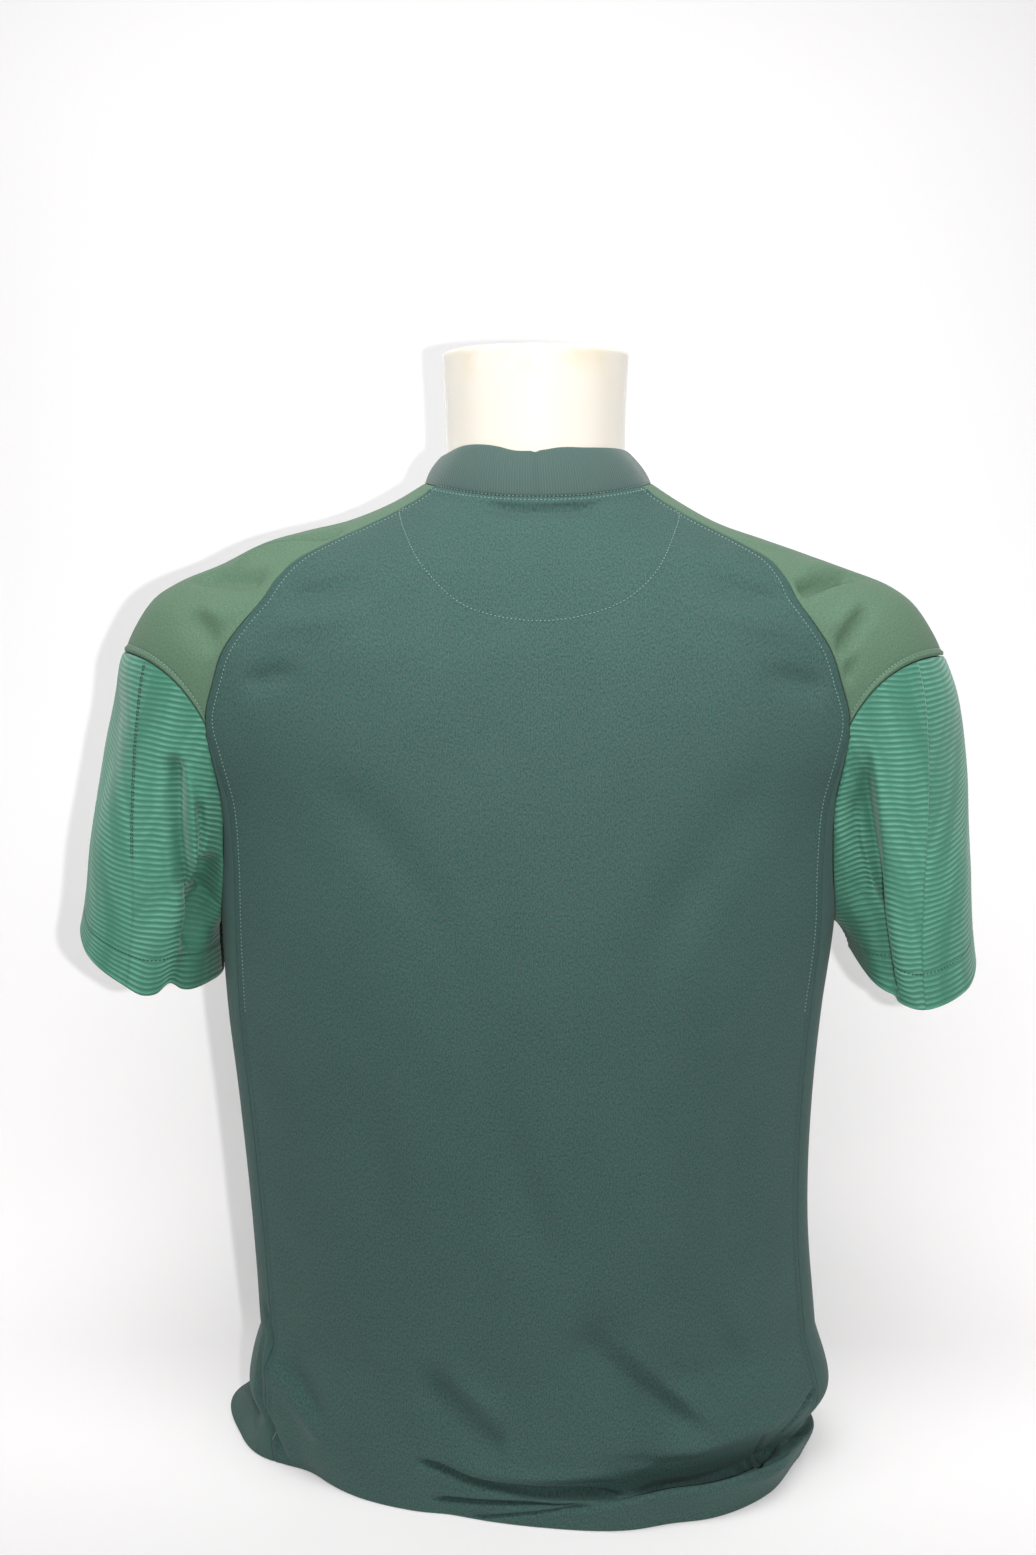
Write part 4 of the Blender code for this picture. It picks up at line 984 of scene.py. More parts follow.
@dataclass(frozen=True)
class Stitching:
    """Row of stitches: short rounded beads of thread laid along a line."""

    pitch: float = 0.0025
    length: float = 0.0013
    width: float = 0.0006
    rise: float = 0.00015
    sides: int = 5
    full_share: float = 0.3  # of its length, from the middle to each ring

    def bead(self) -> tuple[Array, Array, Array]:
        """One stitch along x: two rings of points between two end points.

        Returns:
            Points, quads and triangles.
        """
        turn = np.linspace(0, 2 * np.pi, self.sides, endpoint=False)
        ring = np.stack([np.zeros(self.sides), np.cos(turn), np.sin(turn)], axis=-1) * self.width / 2
        shift = np.array([self.length * self.full_share, 0, 0])
        ends = np.array([[-self.length / 2, 0, 0], [self.length / 2, 0, 0]])
        points = np.concatenate([ring - shift, ring + shift, ends])
        here = np.arange(self.sides)
        beside = np.roll(here, -1)
        quads = np.stack([here, here + self.sides, beside + self.sides, beside], axis=-1)
        first, last = 2 * self.sides, 2 * self.sides + 1
        low = np.stack([np.full_like(here, first), here, beside], axis=-1)
        high = np.stack([np.full_like(here, last), beside + self.sides, here + self.sides], axis=-1)
        return points, quads[:, ::-1], np.concatenate([low[:, ::-1], high[:, ::-1]])

    def along(
        self, name: str, lines: Sequence[tuple[Array, Array]], look: bpy.types.Material
    ) -> bpy.types.Object:
        """Stitches along lines, evenly by length.

        Args:
            name: name of the piece that they are sewn on.
            lines: points and normals of each line.
            look: material of the thread.

        Returns:
            One object with every stitch.
        """
        bead, quads, triangles = self.bead()
        read = []
        for points, normals in lines:
            lengths = run_lengths(points, 0)
            at = np.arange(self.pitch / 2, lengths[-1], self.pitch)
            numbers = np.hstack([points, np.gradient(points, lengths, axis=0), normals])
            read.append(np.stack([np.interp(at, lengths, column) for column in numbers.T], axis=-1))
        centre, tangent, facing = np.split(np.concatenate(read), 3, axis=1)
        tangent = unit(tangent)
        over = unit(np.cross(unit(facing), tangent))
        up = np.cross(tangent, over)
        axes = np.stack([tangent, over, up], axis=1)
        points = (centre + up * self.rise)[:, None] + np.einsum("pk,nkc->npc", bead, axes)
        base = (np.arange(len(centre)) * len(bead))[:, None, None]
        faces = [(quads[None] + base).reshape(-1, 4), (triangles[None] + base).reshape(-1, 3)]
        thing = add_mesh(f"{name}_stitches", points.reshape(-1, 3), faces, {})
        thing.data.materials.append(look)
        return thing


def surface_area(points: Array, faces: Sequence[Array]) -> float:
    """Area of faces: half the length of the cross product of each face's diagonals or sides."""
    points = points.reshape(-1, 3)
    total = 0.0
    for part in faces:
        corner = points[part]
        first = corner[:, 2] - corner[:, 0]
        second = corner[:, -1] - corner[:, 1] if part.shape[1] == 4 else corner[:, 1] - corner[:, 0]
        total += float(np.linalg.norm(np.cross(first, second), axis=-1).sum()) / 2
    return total


@dataclass(frozen=True)
class Place:
    """Where a piece belongs: its node, and the names of its slot, how it is held and what it rests on."""

    node: str
    slot: str
    held: str
    rests_on: str

    def settle(
        self, piece: bpy.types.Object, width: float, length: float, area: float,
        sewn: Sequence[bpy.types.Object] = (),
    ) -> None:
        """Let a piece of cloth stand for its node, and state the cut of it.

        Args:
            piece: the cloth.
            width, length: size it was cut to.
            area: its flat area.
            sewn: separate pieces sewn on it.
        """
        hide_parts(self.node)
        for part in (piece, *sewn):
            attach(part, ROOT)
        width, length = round(float(width), 3), round(float(length), 3)
        area = min(area, width * length)
        log.info("%s: cut %.3f x %.3f m, %.4f m2", piece.name, width, length, area)


# ---- Finishes ----


class Value:
    """Number that varies over a surface: sums and products of it add Math nodes."""

    def __init__(self, shade: "Shade", socket: bpy.types.NodeSocket) -> None:
        """Wrap a socket of a node tree."""
        self.shade = shade
        self.socket = socket

    def maths(self, operation: str, *others: Any) -> "Value":
        """Math node with this value first.

        Args:
            operation: the node's operation.
            others: further values or numbers.

        Returns:
            The node's result.
        """
        inputs = dict(enumerate((self, *others)))
        node = self.shade.node("ShaderNodeMath", {"operation": operation}, inputs)
        return Value(self.shade, node.outputs[0])

    def __add__(self, other: Any) -> "Value":
        """Sum."""
        return self.maths("ADD", other)

    __radd__ = __add__

    def __sub__(self, other: Any) -> "Value":
        """Difference."""
        return self.maths("SUBTRACT", other)

    def __mul__(self, other: Any) -> "Value":
        """Product."""
        return self.maths("MULTIPLY", other)

    def power(self, exponent: float) -> "Value":
        """Power of the value."""
        return self.maths("POWER", exponent)

    def sine(self) -> "Value":
        """Sine of the value."""
        return self.maths("SINE")

    def ramp(self, low: float, high: float) -> "Value":
        """0 below low, 1 above high and smooth between."""
        inputs = {0: self, 1: low, 2: high, 3: 0.0, 4: 1.0}
        node = self.shade.node("ShaderNodeMapRange", {"interpolation_type": "SMOOTHSTEP"}, inputs)
        return Value(self.shade, node.outputs[0])


class Shade:
    """Material under construction, with the few kinds of node that the finishes share."""

    def __init__(self, name: str) -> None:
        """Start a material with a Principled shader."""
        self.material = bpy.data.materials.new(name)
        self.material.use_nodes = True
        self.tree = self.material.node_tree
        self.shader = self.tree.nodes["Principled BSDF"]

    def node(self, kind: str, settings: dict[str, Any], inputs: dict[Any, Any]) -> bpy.types.Node:
        """Node of any type.

        Args:
            kind: the node's type.
            settings: its properties, set first.
            inputs: values or links of its sockets, by name or number.

        Returns:
            The node.
        """
        node = self.tree.nodes.new(kind)
        for key, setting in settings.items():
            setattr(node, key, setting)
        for key, value in inputs.items():
            self.feed(node.inputs[key], value)
        return node

    def feed(self, socket: bpy.types.NodeSocket, value: Any) -> None:
        """Link a socket, or set it."""
        if isinstance(value, Value):
            self.tree.links.new(value.socket, socket)
        elif isinstance(value, bpy.types.NodeSocket):
            self.tree.links.new(value, socket)
        elif isinstance(value, tuple) and len(value) == 3 and socket.type == "RGBA":
            socket.default_value = (*value, 1.0)
        else:
            socket.default_value = value

    def held(self, name: str) -> Value:
        """Number kept at the mesh's points."""
        return Value(self, self.node("ShaderNodeAttribute", {"attribute_name": name}, {}).outputs["Fac"])

    def cloth_place(self, stretch: tuple[float, float, float] = (1.0, 1.0, 1.0)) -> bpy.types.NodeSocket:
        """Place on the flat cloth in metres, stretched along its axes."""
        place = self.node("ShaderNodeUVMap", {"uv_map": "cloth"}, {}).outputs[0]
        return self.node("ShaderNodeMapping", {}, {"Vector": place, "Scale": stretch}).outputs[0]

    def object_place(self) -> bpy.types.NodeSocket:
        """Place in the object's own metres."""
        return self.node("ShaderNodeTexCoord", {}, {}).outputs["Object"]

    def noise(self, place: Any, scale: float, detail: float = 2.0, roughness: float = 0.5) -> Value:
        """Smooth noise, about 0 to 1.

        Args:
            place: coordinates.
            scale: cells per metre.
            detail, roughness: how much finer noise is added.

        Returns:
            The noise.
        """
        inputs = {"Vector": place, "Scale": scale, "Detail": detail, "Roughness": roughness}
        return Value(self, self.node("ShaderNodeTexNoise", {}, inputs).outputs[0])

    def axis(self, place: Any, name: str) -> Value:
        """One axis of a place."""
        return Value(self, self.node("ShaderNodeSeparateXYZ", {}, {0: place}).outputs[name])

    def mix(self, share: Any, first: Any, second: Any) -> bpy.types.NodeSocket:
        """Mix of two colours.

        Args:
            share: 0 for the first to 1 for the second.
            first, second: colours or links.

        Returns:
            The mixed colour.
        """
        return self.node("ShaderNodeMix", {"data_type": "RGBA"}, {0: share, 6: first, 7: second}).outputs[2]

    def bump(self, height: Value, distance: float, strength: float = 1.0) -> bpy.types.NodeSocket:
        """Bump from a height of 0 to 1 times a distance in metres."""
        inputs = {"Height": height, "Distance": distance, "Strength": strength}
        return self.node("ShaderNodeBump", {}, inputs).outputs[0]

    def finish(self, **sockets: Any) -> bpy.types.Material:
        """Feed the shader's sockets, named with underscores for spaces, and give the material."""
        for key, value in sockets.items():
            self.feed(self.shader.inputs[key.replace("_", " ").title().replace("Ior", "IOR")], value)
        return self.material


@dataclass(frozen=True)
class Knit:
    """Fine melange knit: two yarn colours in small flecks over soft clouds."""

    name: str
    dark: Colour
    light: Colour
    warm: Colour  # greyer yarn, in patches
    seam: Colour  # painted shade along a seam's edge and over its allowance
    wale: float = 0.0009  # from one column of loops to the next
    course: float = 0.0007  # from one row of loops to the next
    fleck: float = 1100.0  # flecks per metre
    relief: float = 0.00010
    sheen: float = 0.06
    roughness: float = 0.78

    def material(self) -> bpy.types.Material:
        """Flecked colour, loops in the bump and a soft sheen.

        Returns:
            The material.
        """
        shade = Shade(self.name)
        place = shade.cloth_place()
        yarn = shade.noise(shade.cloth_place((1.0, 0.6, 1.0)), self.fleck, 2.5, 0.75)
        cloud = shade.noise(place, 22.0, 3.0, 0.55)
        tone = yarn.ramp(0.36, 0.64) * 0.75 + cloud * 0.25
        colour = shade.mix(tone, self.dark, self.light)
        patch = shade.noise(place, self.fleck * 0.45, 2.0, 0.7)
        colour = shade.mix(patch.ramp(0.42, 0.66) * 0.55, colour, self.warm)
        # Painted shade along the seams: the kept seam share mixes in the darker seam colour.
        colour = shade.mix(shade.held("seam"), colour, self.seam)
        across, along = shade.axis(place, "X"), shade.axis(place, "Y")
        columns = (across * (2 * math.pi / self.wale)).sine() * 0.5 + 0.5
        courses = (along * (2 * math.pi / self.course)).sine() * 0.5 + 0.5
        loops = columns * 0.6 + courses * 0.4 + yarn * 0.25
        rough = self.roughness + (yarn - 0.5) * 0.12
        return shade.finish(
            base_color=colour, roughness=rough, sheen_weight=self.sheen, sheen_roughness=0.45,
            specular_ior_level=0.15, normal=shade.bump(loops, self.relief, 0.5),
        )


@dataclass(frozen=True)
class RibKnit:
    """Ribbed knit of the sleeves: painted highlight on the crests over painted shade in the deep valleys, with
    uneven zones.
    """

    name: str
    # colour of the painted shade in the rib valleys
    valley: Colour
    # colour of the painted highlight on the rib crests
    crest: Colour
    pitch: float
    fleck: float = 1000.0
    course: float = 0.0011  # from one row of loops to the next
    seam_shade: float = 0.55  # share of the valley's colour in the painted shade along the seams
    relief: float = 0.00015
    roughness: float = 0.7

    def material(self) -> bpy.types.Material:
        """Colour from the place across a rib, painted highlight at the crest to painted shade in the valley,
        weaker or stronger by zones around the sleeve.

        Returns:
            The material.
        """
        shade = Shade(self.name)
        place = shade.cloth_place()
        yarn = shade.noise(shade.cloth_place((1.0, 0.5, 1.0)), self.fleck, 1.5, 0.6)
        # Painted highlight on each rib's crest and painted shade in its valleys, by the kept phase, stronger
        # in some zones.
        wave = (shade.held("phase") * (2 * math.pi / self.pitch) - math.pi / 2).sine() * 0.5 + 0.5
        zone = shade.noise(shade.cloth_place((1.0, 0.12, 1.0)), 55.0, 2.0, 0.6).ramp(0.3, 0.7)
        crest = wave.power(1.4) * (zone * 0.75 + 0.25) + (yarn - 0.5) * 0.35
        colour = shade.mix(crest.ramp(0.0, 1.0), self.valley, self.crest)
        # Painted shade along the seams, a share of the valley's colour.
        colour = shade.mix(shade.held("seam"), colour, tuple(self.seam_shade * part for part in self.valley))
        cross = (shade.axis(place, "X") * (2 * math.pi / self.course)).sine() * 0.5 + 0.5
        return shade.finish(
            base_color=colour, roughness=self.roughness, sheen_weight=0.25, sheen_roughness=0.4,
            specular_ior_level=0.3, normal=shade.bump(cross * 0.5 + yarn * 0.5, self.relief, 0.6),
        )


@dataclass(frozen=True)
class CollarKnit:
    """Dense collar rib: fine upright wales."""

    name: str
    dark: Colour
    light: Colour
    wale: float = 0.0017

    def material(self) -> bpy.types.Material:
        """Wales in colour and bump.

        Returns:
            The material.
        """
        shade = Shade(self.name)
        place = shade.cloth_place()
        yarn = shade.noise(place, 1000.0, 2.0, 0.6)
        wales = (shade.axis(place, "X") * (2 * math.pi / self.wale)).sine() * 0.5 + 0.5
        tone = wales * 0.55 + yarn * 0.45
        # Painted shade down the seam, in the dark colour.
        colour = shade.mix(shade.held("seam"), shade.mix(tone, self.dark, self.light), self.dark)
        return shade.finish(
            base_color=colour, roughness=0.75, sheen_weight=0.25, sheen_roughness=0.45,
            specular_ior_level=0.25, normal=shade.bump(wales + yarn * 0.4, 0.00025, 0.7),
        )


@dataclass(frozen=True)
class ThreadFinish:
    """Smooth sewing thread."""

    name: str
    colour: Colour

    def material(self) -> bpy.types.Material:
        """Slightly shiny thread with a twist in its bump.

        Returns:
            The material.
        """
        shade = Shade(self.name)
        twist = shade.noise(shade.object_place(), 2500.0, 1.0)
        tone = shade.mix(twist.ramp(0.3, 0.7), tuple(0.75 * part for part in self.colour), self.colour)
        return shade.finish(base_color=tone, roughness=0.5, normal=shade.bump(twist, 0.0001, 0.4))


@dataclass(frozen=True)
class GlossForm:
    """Glossy lacquered form: warm white, a little yellow and scuffed towards its rim."""

    name: str
    base: Colour
    yellow: Colour
    rim_height: float
    rim_reach: float = 0.03  # the yellow fades over this height
    ripple: float = 0.0008

    def material(self) -> bpy.types.Material:
        """Lacquer with faint yellowing, scuffs and hairline scratches.

        Returns:
            The material.
        """
        shade = Shade(self.name)
        place = shade.object_place()
        height = shade.axis(place, "Z")
        near_rim = height.ramp(self.rim_height - self.rim_reach, self.rim_height)
        patch = shade.noise(place, 40.0, 3.0, 0.6)
        colour = shade.mix(near_rim * patch.ramp(0.4, 0.7) * 0.6, self.base, self.yellow)
        scuff = shade.noise(place, 220.0, 4.0, 0.7).ramp(0.64, 0.72)
        rough = scuff * 0.25 + patch * 0.06 + 0.1
        ripple = shade.noise(place, 18.0, 2.0)
        return shade.finish(
            base_color=colour, roughness=rough, coat_weight=0.6, coat_roughness=0.06,
            normal=shade.bump(ripple, self.ripple, 0.25),
        )


@dataclass(frozen=True)
class PaperFinish:
    """Matt white paper of the backdrop."""

    name: str
    low: Colour  # at the floor
    high: Colour  # up the wall, where the light is closer
    full_height: float
    glow: float  # light of its own, for the over-exposed white of the photograph

    def material(self) -> bpy.types.Material:
        """Matt white, a tone darker up the wall so that it looks even, with a faint tooth.

        Returns:
            The material.
        """
        shade = Shade(self.name)
        place = shade.object_place()
        tone = shade.mix(shade.axis(place, "Z").ramp(0.0, self.full_height), self.low, self.high)
        tooth = shade.noise(place, 300.0, 2.0)
        return shade.finish(
            base_color=shade.mix(tooth * 0.03, tone, (1.0, 1.0, 1.0)), roughness=0.9,
            emission_color=(1.0, 1.0, 1.0), emission_strength=self.glow,
        )


# The last colour of each knit is the painted shade along its seams.
BODY_KNIT = Knit(
    "body_knit_dressed",
    (0.022, 0.059, 0.050), (0.064, 0.132, 0.116), (0.070, 0.092, 0.086), (0.030, 0.068, 0.066),
)
SADDLE_KNIT = Knit(
    "saddle_knit_dressed",
    (0.068, 0.130, 0.080), (0.120, 0.205, 0.135), (0.10, 0.15, 0.11), (0.055, 0.10, 0.07),
)
# Painted shade in the rib valleys, then painted highlight on the rib crests.
SLEEVE_RIB = RibKnit("sleeve_rib_dressed", (0.052, 0.188, 0.128), (0.122, 0.330, 0.242), 0.0036)
COLLAR_KNIT = CollarKnit("collar_knit_dressed", (0.053, 0.090, 0.081), (0.076, 0.124, 0.111))
MINT_THREAD = ThreadFinish("mint_thread", (0.22, 0.36, 0.32))
DARK_THREAD = ThreadFinish("dark_thread", (0.010, 0.026, 0.020))
GLOSS = GlossForm("gloss_form_dressed", (0.68, 0.638, 0.565), (0.64, 0.55, 0.38), 0.724)
PAPER = PaperFinish("white_paper", (0.835, 0.814, 0.815), (0.50, 0.490, 0.496), 0.9, 0.20)

# ---- Body panels ----


def spread(*stretches: tuple[float, float, int]) -> Array:
    """Keys over stretches that follow each other.

    Args:
        stretches: start, end and number of steps of each.

    Returns:
        The keys, each once.
    """
    return np.concatenate([np.linspace(low, high, count + 1)[:-1] for low, high, count in stretches]
                          + [np.array([stretches[-1][1]])])


def mirrored(*stretches: tuple[float, float, int]) -> Array:
    """Keys over stretches from 0 to 1, and the same from -1 to 0."""
    half = spread(*stretches)
    return np.concatenate([-half[:0:-1], half])


@dataclass(frozen=True)
class SeamShape:
    """How cloth lies beside a seam: rolled in at the edge, raised over the allowance behind it."""

    roll: float = 0.0002
    roll_width: float = 0.0007
    raised: float = 0.0001
    raised_from: float = 0.0008
    raised_full: float = 0.0020
    allowance: float = 0.0050
    allowance_end: float = 0.0064
    stitch_at: float = 0.0056
    stitch_dip: float = 0.0002
    stitch_width: float = 0.0007
    shade: float = 0.3
    shade_soft: float = 0.0008

    def lift(self, distance: Array, raised: bool = True) -> Array:
        """Lift at a distance from the seam: minus a bell at the edge, plus the allowance's step."""
        lift = -self.roll * bell(distance, self.roll_width)
        if raised:
            step = ease(distance, self.raised_from, self.raised_full)
            lift += self.raised * step * (1 - ease(distance, self.allowance, self.allowance_end))
            lift -= self.stitch_dip * bell(distance - self.stitch_at, self.stitch_width)
        return lift

    def shadow(self, distance: Array) -> Array:
        """Share of the painted shade over the allowance."""
        behind = 1 - ease(distance, self.allowance - self.shade_soft, self.allowance)
        return ease(distance, 0.0, 0.001) * behind * self.shade

    def edge_line(self, distance: Array, share: float) -> Array:
        """Share of the painted shade in a thin line at an edge: a bell times the share."""
        return share * bell(distance, self.shade_soft)


HEM_ROWS = spread((0.0, 1.5, 26), (1.5, 3.4, 60), (3.4, 4.0, 12))[1:]

BACK_HEM_CREASES = table(
    Crease,
    # The long trough that ends at the lower right, with the ridge beside it.
    (((-0.0255, -1.1), (-0.0376, -0.57), (-0.0573, -0.14), (-0.0826, 0.46), (-0.1084, 0.91)),
     0.0066, 0.0060, 0.0140, 0.25),
    (((-0.045, -0.9), (-0.0664, -0.26), (-0.0982, 0.56), (-0.115, 1.04)), -0.0042, 0.0080, 0.0055, 0.35),
    # The shorter one near the middle.
    (((0.076, -0.35), (0.059, 0.11), (0.0443, 0.38), (0.0253, 0.82), (0.0174, 0.90)),
     0.0060, 0.0056, 0.0120, 0.3),
    (((0.060, -0.3), (0.047, 0.0), (0.032, 0.3), (0.012, 0.7)), -0.0032, 0.0080, 0.0050, 0.35),
    # The lobe at the lower left: its ridge, the hollow inside it and the nick above.
    (((0.178, -0.2), (0.1736, 0.42), (0.1555, 0.70), (0.1369, 1.26), (0.1304, 1.65)),
     -0.0036, 0.0055, 0.0090),
    (((0.166, 0.25), (0.148, 0.60), (0.128, 1.15)), 0.0036, 0.0110, 0.0060, 0.35),
    (((0.179, -0.6), (0.175, -0.2), (0.1705, 0.30)), 0.0036, 0.0018, 0.0022, 0.35),
    (((0.1795, -0.3), (0.1775, 1.1), (0.1721, 2.34), (0.1627, 3.92)), 0.0038, 0.0040, 0.0026, 0.2),
    # The three dark lines at the bottom, and the lip over the first.
    (((0.075, 1.45), (0.0613, 1.74), (0.0394, 2.16), (0.0077, 2.06), (-0.0346, 1.86), (-0.0560, 2.1)),
     0.0080, 0.0014, 0.0032, 0.2),
    (((0.070, 1.1), (0.0394, 1.65), (0.0077, 1.62), (-0.0346, 1.45), (-0.0575, 1.55)),
     -0.0024, 0.0050, 0.0030),
    (((0.066, 3.30), (0.0532, 3.24), (0.0394, 3.18), (-0.0029, 3.01), (-0.0345, 3.17)),
     0.0056, 0.0014, 0.0020, 0.2),
    (((0.0398, 3.9), (0.0298, 3.80), (0.0123, 3.56), (-0.0111, 3.33), (-0.0344, 3.18)),
     0.0036, 0.0010, 0.0010, 0.15),
    # The rolled band: a sharp line over its crest, which stands out.
    (((-0.030, 3.10), (-0.0576, 2.72), (-0.0818, 2.68), (-0.1148, 2.60), (-0.1305, 2.7), (-0.158, 2.9)),
     0.0042, 0.0030, 0.0012, 0.12),
    (((-0.020, 3.5), (-0.0576, 3.12), (-0.0818, 3.12), (-0.1148, 3.02), (-0.1305, 3.2), (-0.160, 3.4)),
     -0.0020, 0.0014, 0.0060, 0.15),
    # The pocket between the bulge and the band, the bulge's lip and the pleat in it.
    (((-0.0575, 2.1), (-0.0828, 2.0), (-0.1167, 1.95), (-0.1394, 2.0), (-0.156, 1.9)),
     0.0060, 0.0034, 0.0034, 0.2),
    (((-0.045, 1.4), (-0.0828, 1.24), (-0.1167, 1.12), (-0.1394, 1.10), (-0.162, 0.9)),
     -0.0032, 0.0070, 0.0034, 0.25),
    (((-0.1394, 1.15), (-0.1385, 1.7), (-0.131, 2.5)), 0.0030, 0.0016, 0.0016),
    (((-0.175, 0.9), (-0.1681, 1.0), (-0.1508, 1.69), (-0.1308, 2.84)), 0.0046, 0.0018, 0.0020, 0.2),
    (((-0.178, 1.4), (-0.163, 2.0), (-0.148, 2.7)), -0.0026, 0.0050, 0.0040),
    # Soft ones.
    (((-0.0421, 1.12), (-0.0744, 1.29), (-0.0988, 1.28)), 0.0024, 0.0035, 0.0035, 0.4),
    (((-0.100, -1.4), (-0.1156, -0.61), (-0.1288, -0.08), (-0.1413, 0.34)), 0.0032, 0.0080, 0.0130, 0.45),
    (((0.140, -1.2), (0.120, -0.2), (0.090, 0.7), (0.070, 1.1)), 0.0018, 0.0140, 0.0140, 0.45),
)
FRONT_HEM_CREASES = table(
    Crease,
    (((0.060, -1.2), (0.090, 0.0), (0.128, 0.9)), 0.0018, 0.0050, 0.0080),
    (((-0.070, -0.6), (-0.040, 0.4), (-0.010, 1.1)), 0.0018, 0.0080, 0.0050),
    (((-0.090, 1.9), (-0.020, 2.05), (0.070, 1.9)), 0.0026, 0.0015, 0.0015),
    (((-0.150, 2.8), (-0.050, 2.95), (0.050, 2.8), (0.150, 3.0)), 0.0024, 0.0015, 0.0015, 0.2),
    (((-0.165, -0.6), (-0.150, 0.6), (-0.125, 1.8)), -0.0026, 0.0080, 0.0060),
    (((0.165, -0.4), (0.155, 0.7), (0.120, 2.0)), -0.0024, 0.0080, 0.0060),
)
# Soft folds higher up, by x and level.
BACK_BODY_CREASES = table(
    Crease,
    (((-0.046, -13.66), (-0.02, -13.63), (0.012, -13.62), (0.044, -13.67)), 0.0058, 0.0060, 0.0032, 0.3),
    # Pulls from the armpits to the shoulder blades.
    (((0.158, -12.15), (0.143, -12.15), (0.122, -12.26), (0.100, -12.6)), 0.0040, 0.0060, 0.0080, 0.4),
    (((0.173, -11.4), (0.149, -11.67), (0.119, -11.77), (0.089, -12.2)), -0.0026, 0.0080, 0.0080, 0.4),
    (((0.182, -10.65), (0.164, -10.87), (0.137, -10.97)), 0.0036, 0.0070, 0.0090, 0.4),
    (((-0.160, -12.1), (-0.140, -12.1), (-0.118, -12.3), (-0.096, -12.7)), 0.0040, 0.0080, 0.0060, 0.4),
    (((-0.172, -11.3), (-0.146, -11.6), (-0.112, -11.8), (-0.084, -12.3)), -0.0026, 0.0080, 0.0080, 0.4),
    (((-0.182, -10.6), (-0.160, -10.8), (-0.130, -11.0)), 0.0034, 0.0090, 0.0070, 0.4),
    # Long soft undulations down the back.
    (((0.150, -9.8), (0.085, -8.2), (0.030, -6.0)), 0.0030, 0.0150, 0.0150, 0.5),
    (((-0.150, -9.8), (-0.090, -7.6), (-0.050, -5.0)), 0.0030, 0.0160, 0.0160, 0.5),
    (((0.110, -6.0), (0.095, -3.0), (0.105, -0.8)), 0.0028, 0.0140, 0.0140, 0.5),
    (((0.030, -5.6), (0.008, -3.0), (-0.022, -1.2)), 0.0036, 0.0120, 0.0160, 0.5),
    (((-0.070, -4.2), (-0.078, -2.4), (-0.100, -0.8)), -0.0030, 0.0140, 0.0120, 0.5),
    (((-0.120, -5.0), (-0.125, -2.6), (-0.110, -0.6)), 0.0030, 0.0140, 0.0140, 0.5),
)
FRONT_BODY_CREASES = table(
    Crease,
    (((0.150, -9.8), (0.090, -8.2), (0.030, -6.5)), 0.0022, 0.0130, 0.0130, 0.5),
    (((-0.150, -9.6), (-0.085, -7.4), (-0.040, -5.0)), 0.0022, 0.0140, 0.0140, 0.5),
    (((0.090, -6.0), (0.100, -3.0), (0.110, -0.8)), 0.0012, 0.0160, 0.0160, 0.5),
)


@dataclass(frozen=True)
class BodyCreases:
    """All creases of the body, the same for each panel, so that the seams stay together."""

    cut: Cut

    def depth(self, points: Array, normals: Array) -> Array:
        """Depth of the back's and the front's creases at points of any body panel."""
        back = (*BACK_HEM_CREASES, *BACK_BODY_CREASES)
        front = (*FRONT_HEM_CREASES, *FRONT_BODY_CREASES)
        depth = crease_depth(points, normals, back, lambda places: self.cut.body_places(places, Face.BACK))
        return depth + crease_depth(
            points, normals, front, lambda places: self.cut.body_places(places, Face.FRONT)
        )


class MoonRow(NamedTuple):
    """Place on the half-moon's topstitch below the back neck."""

    x: float
    height: float


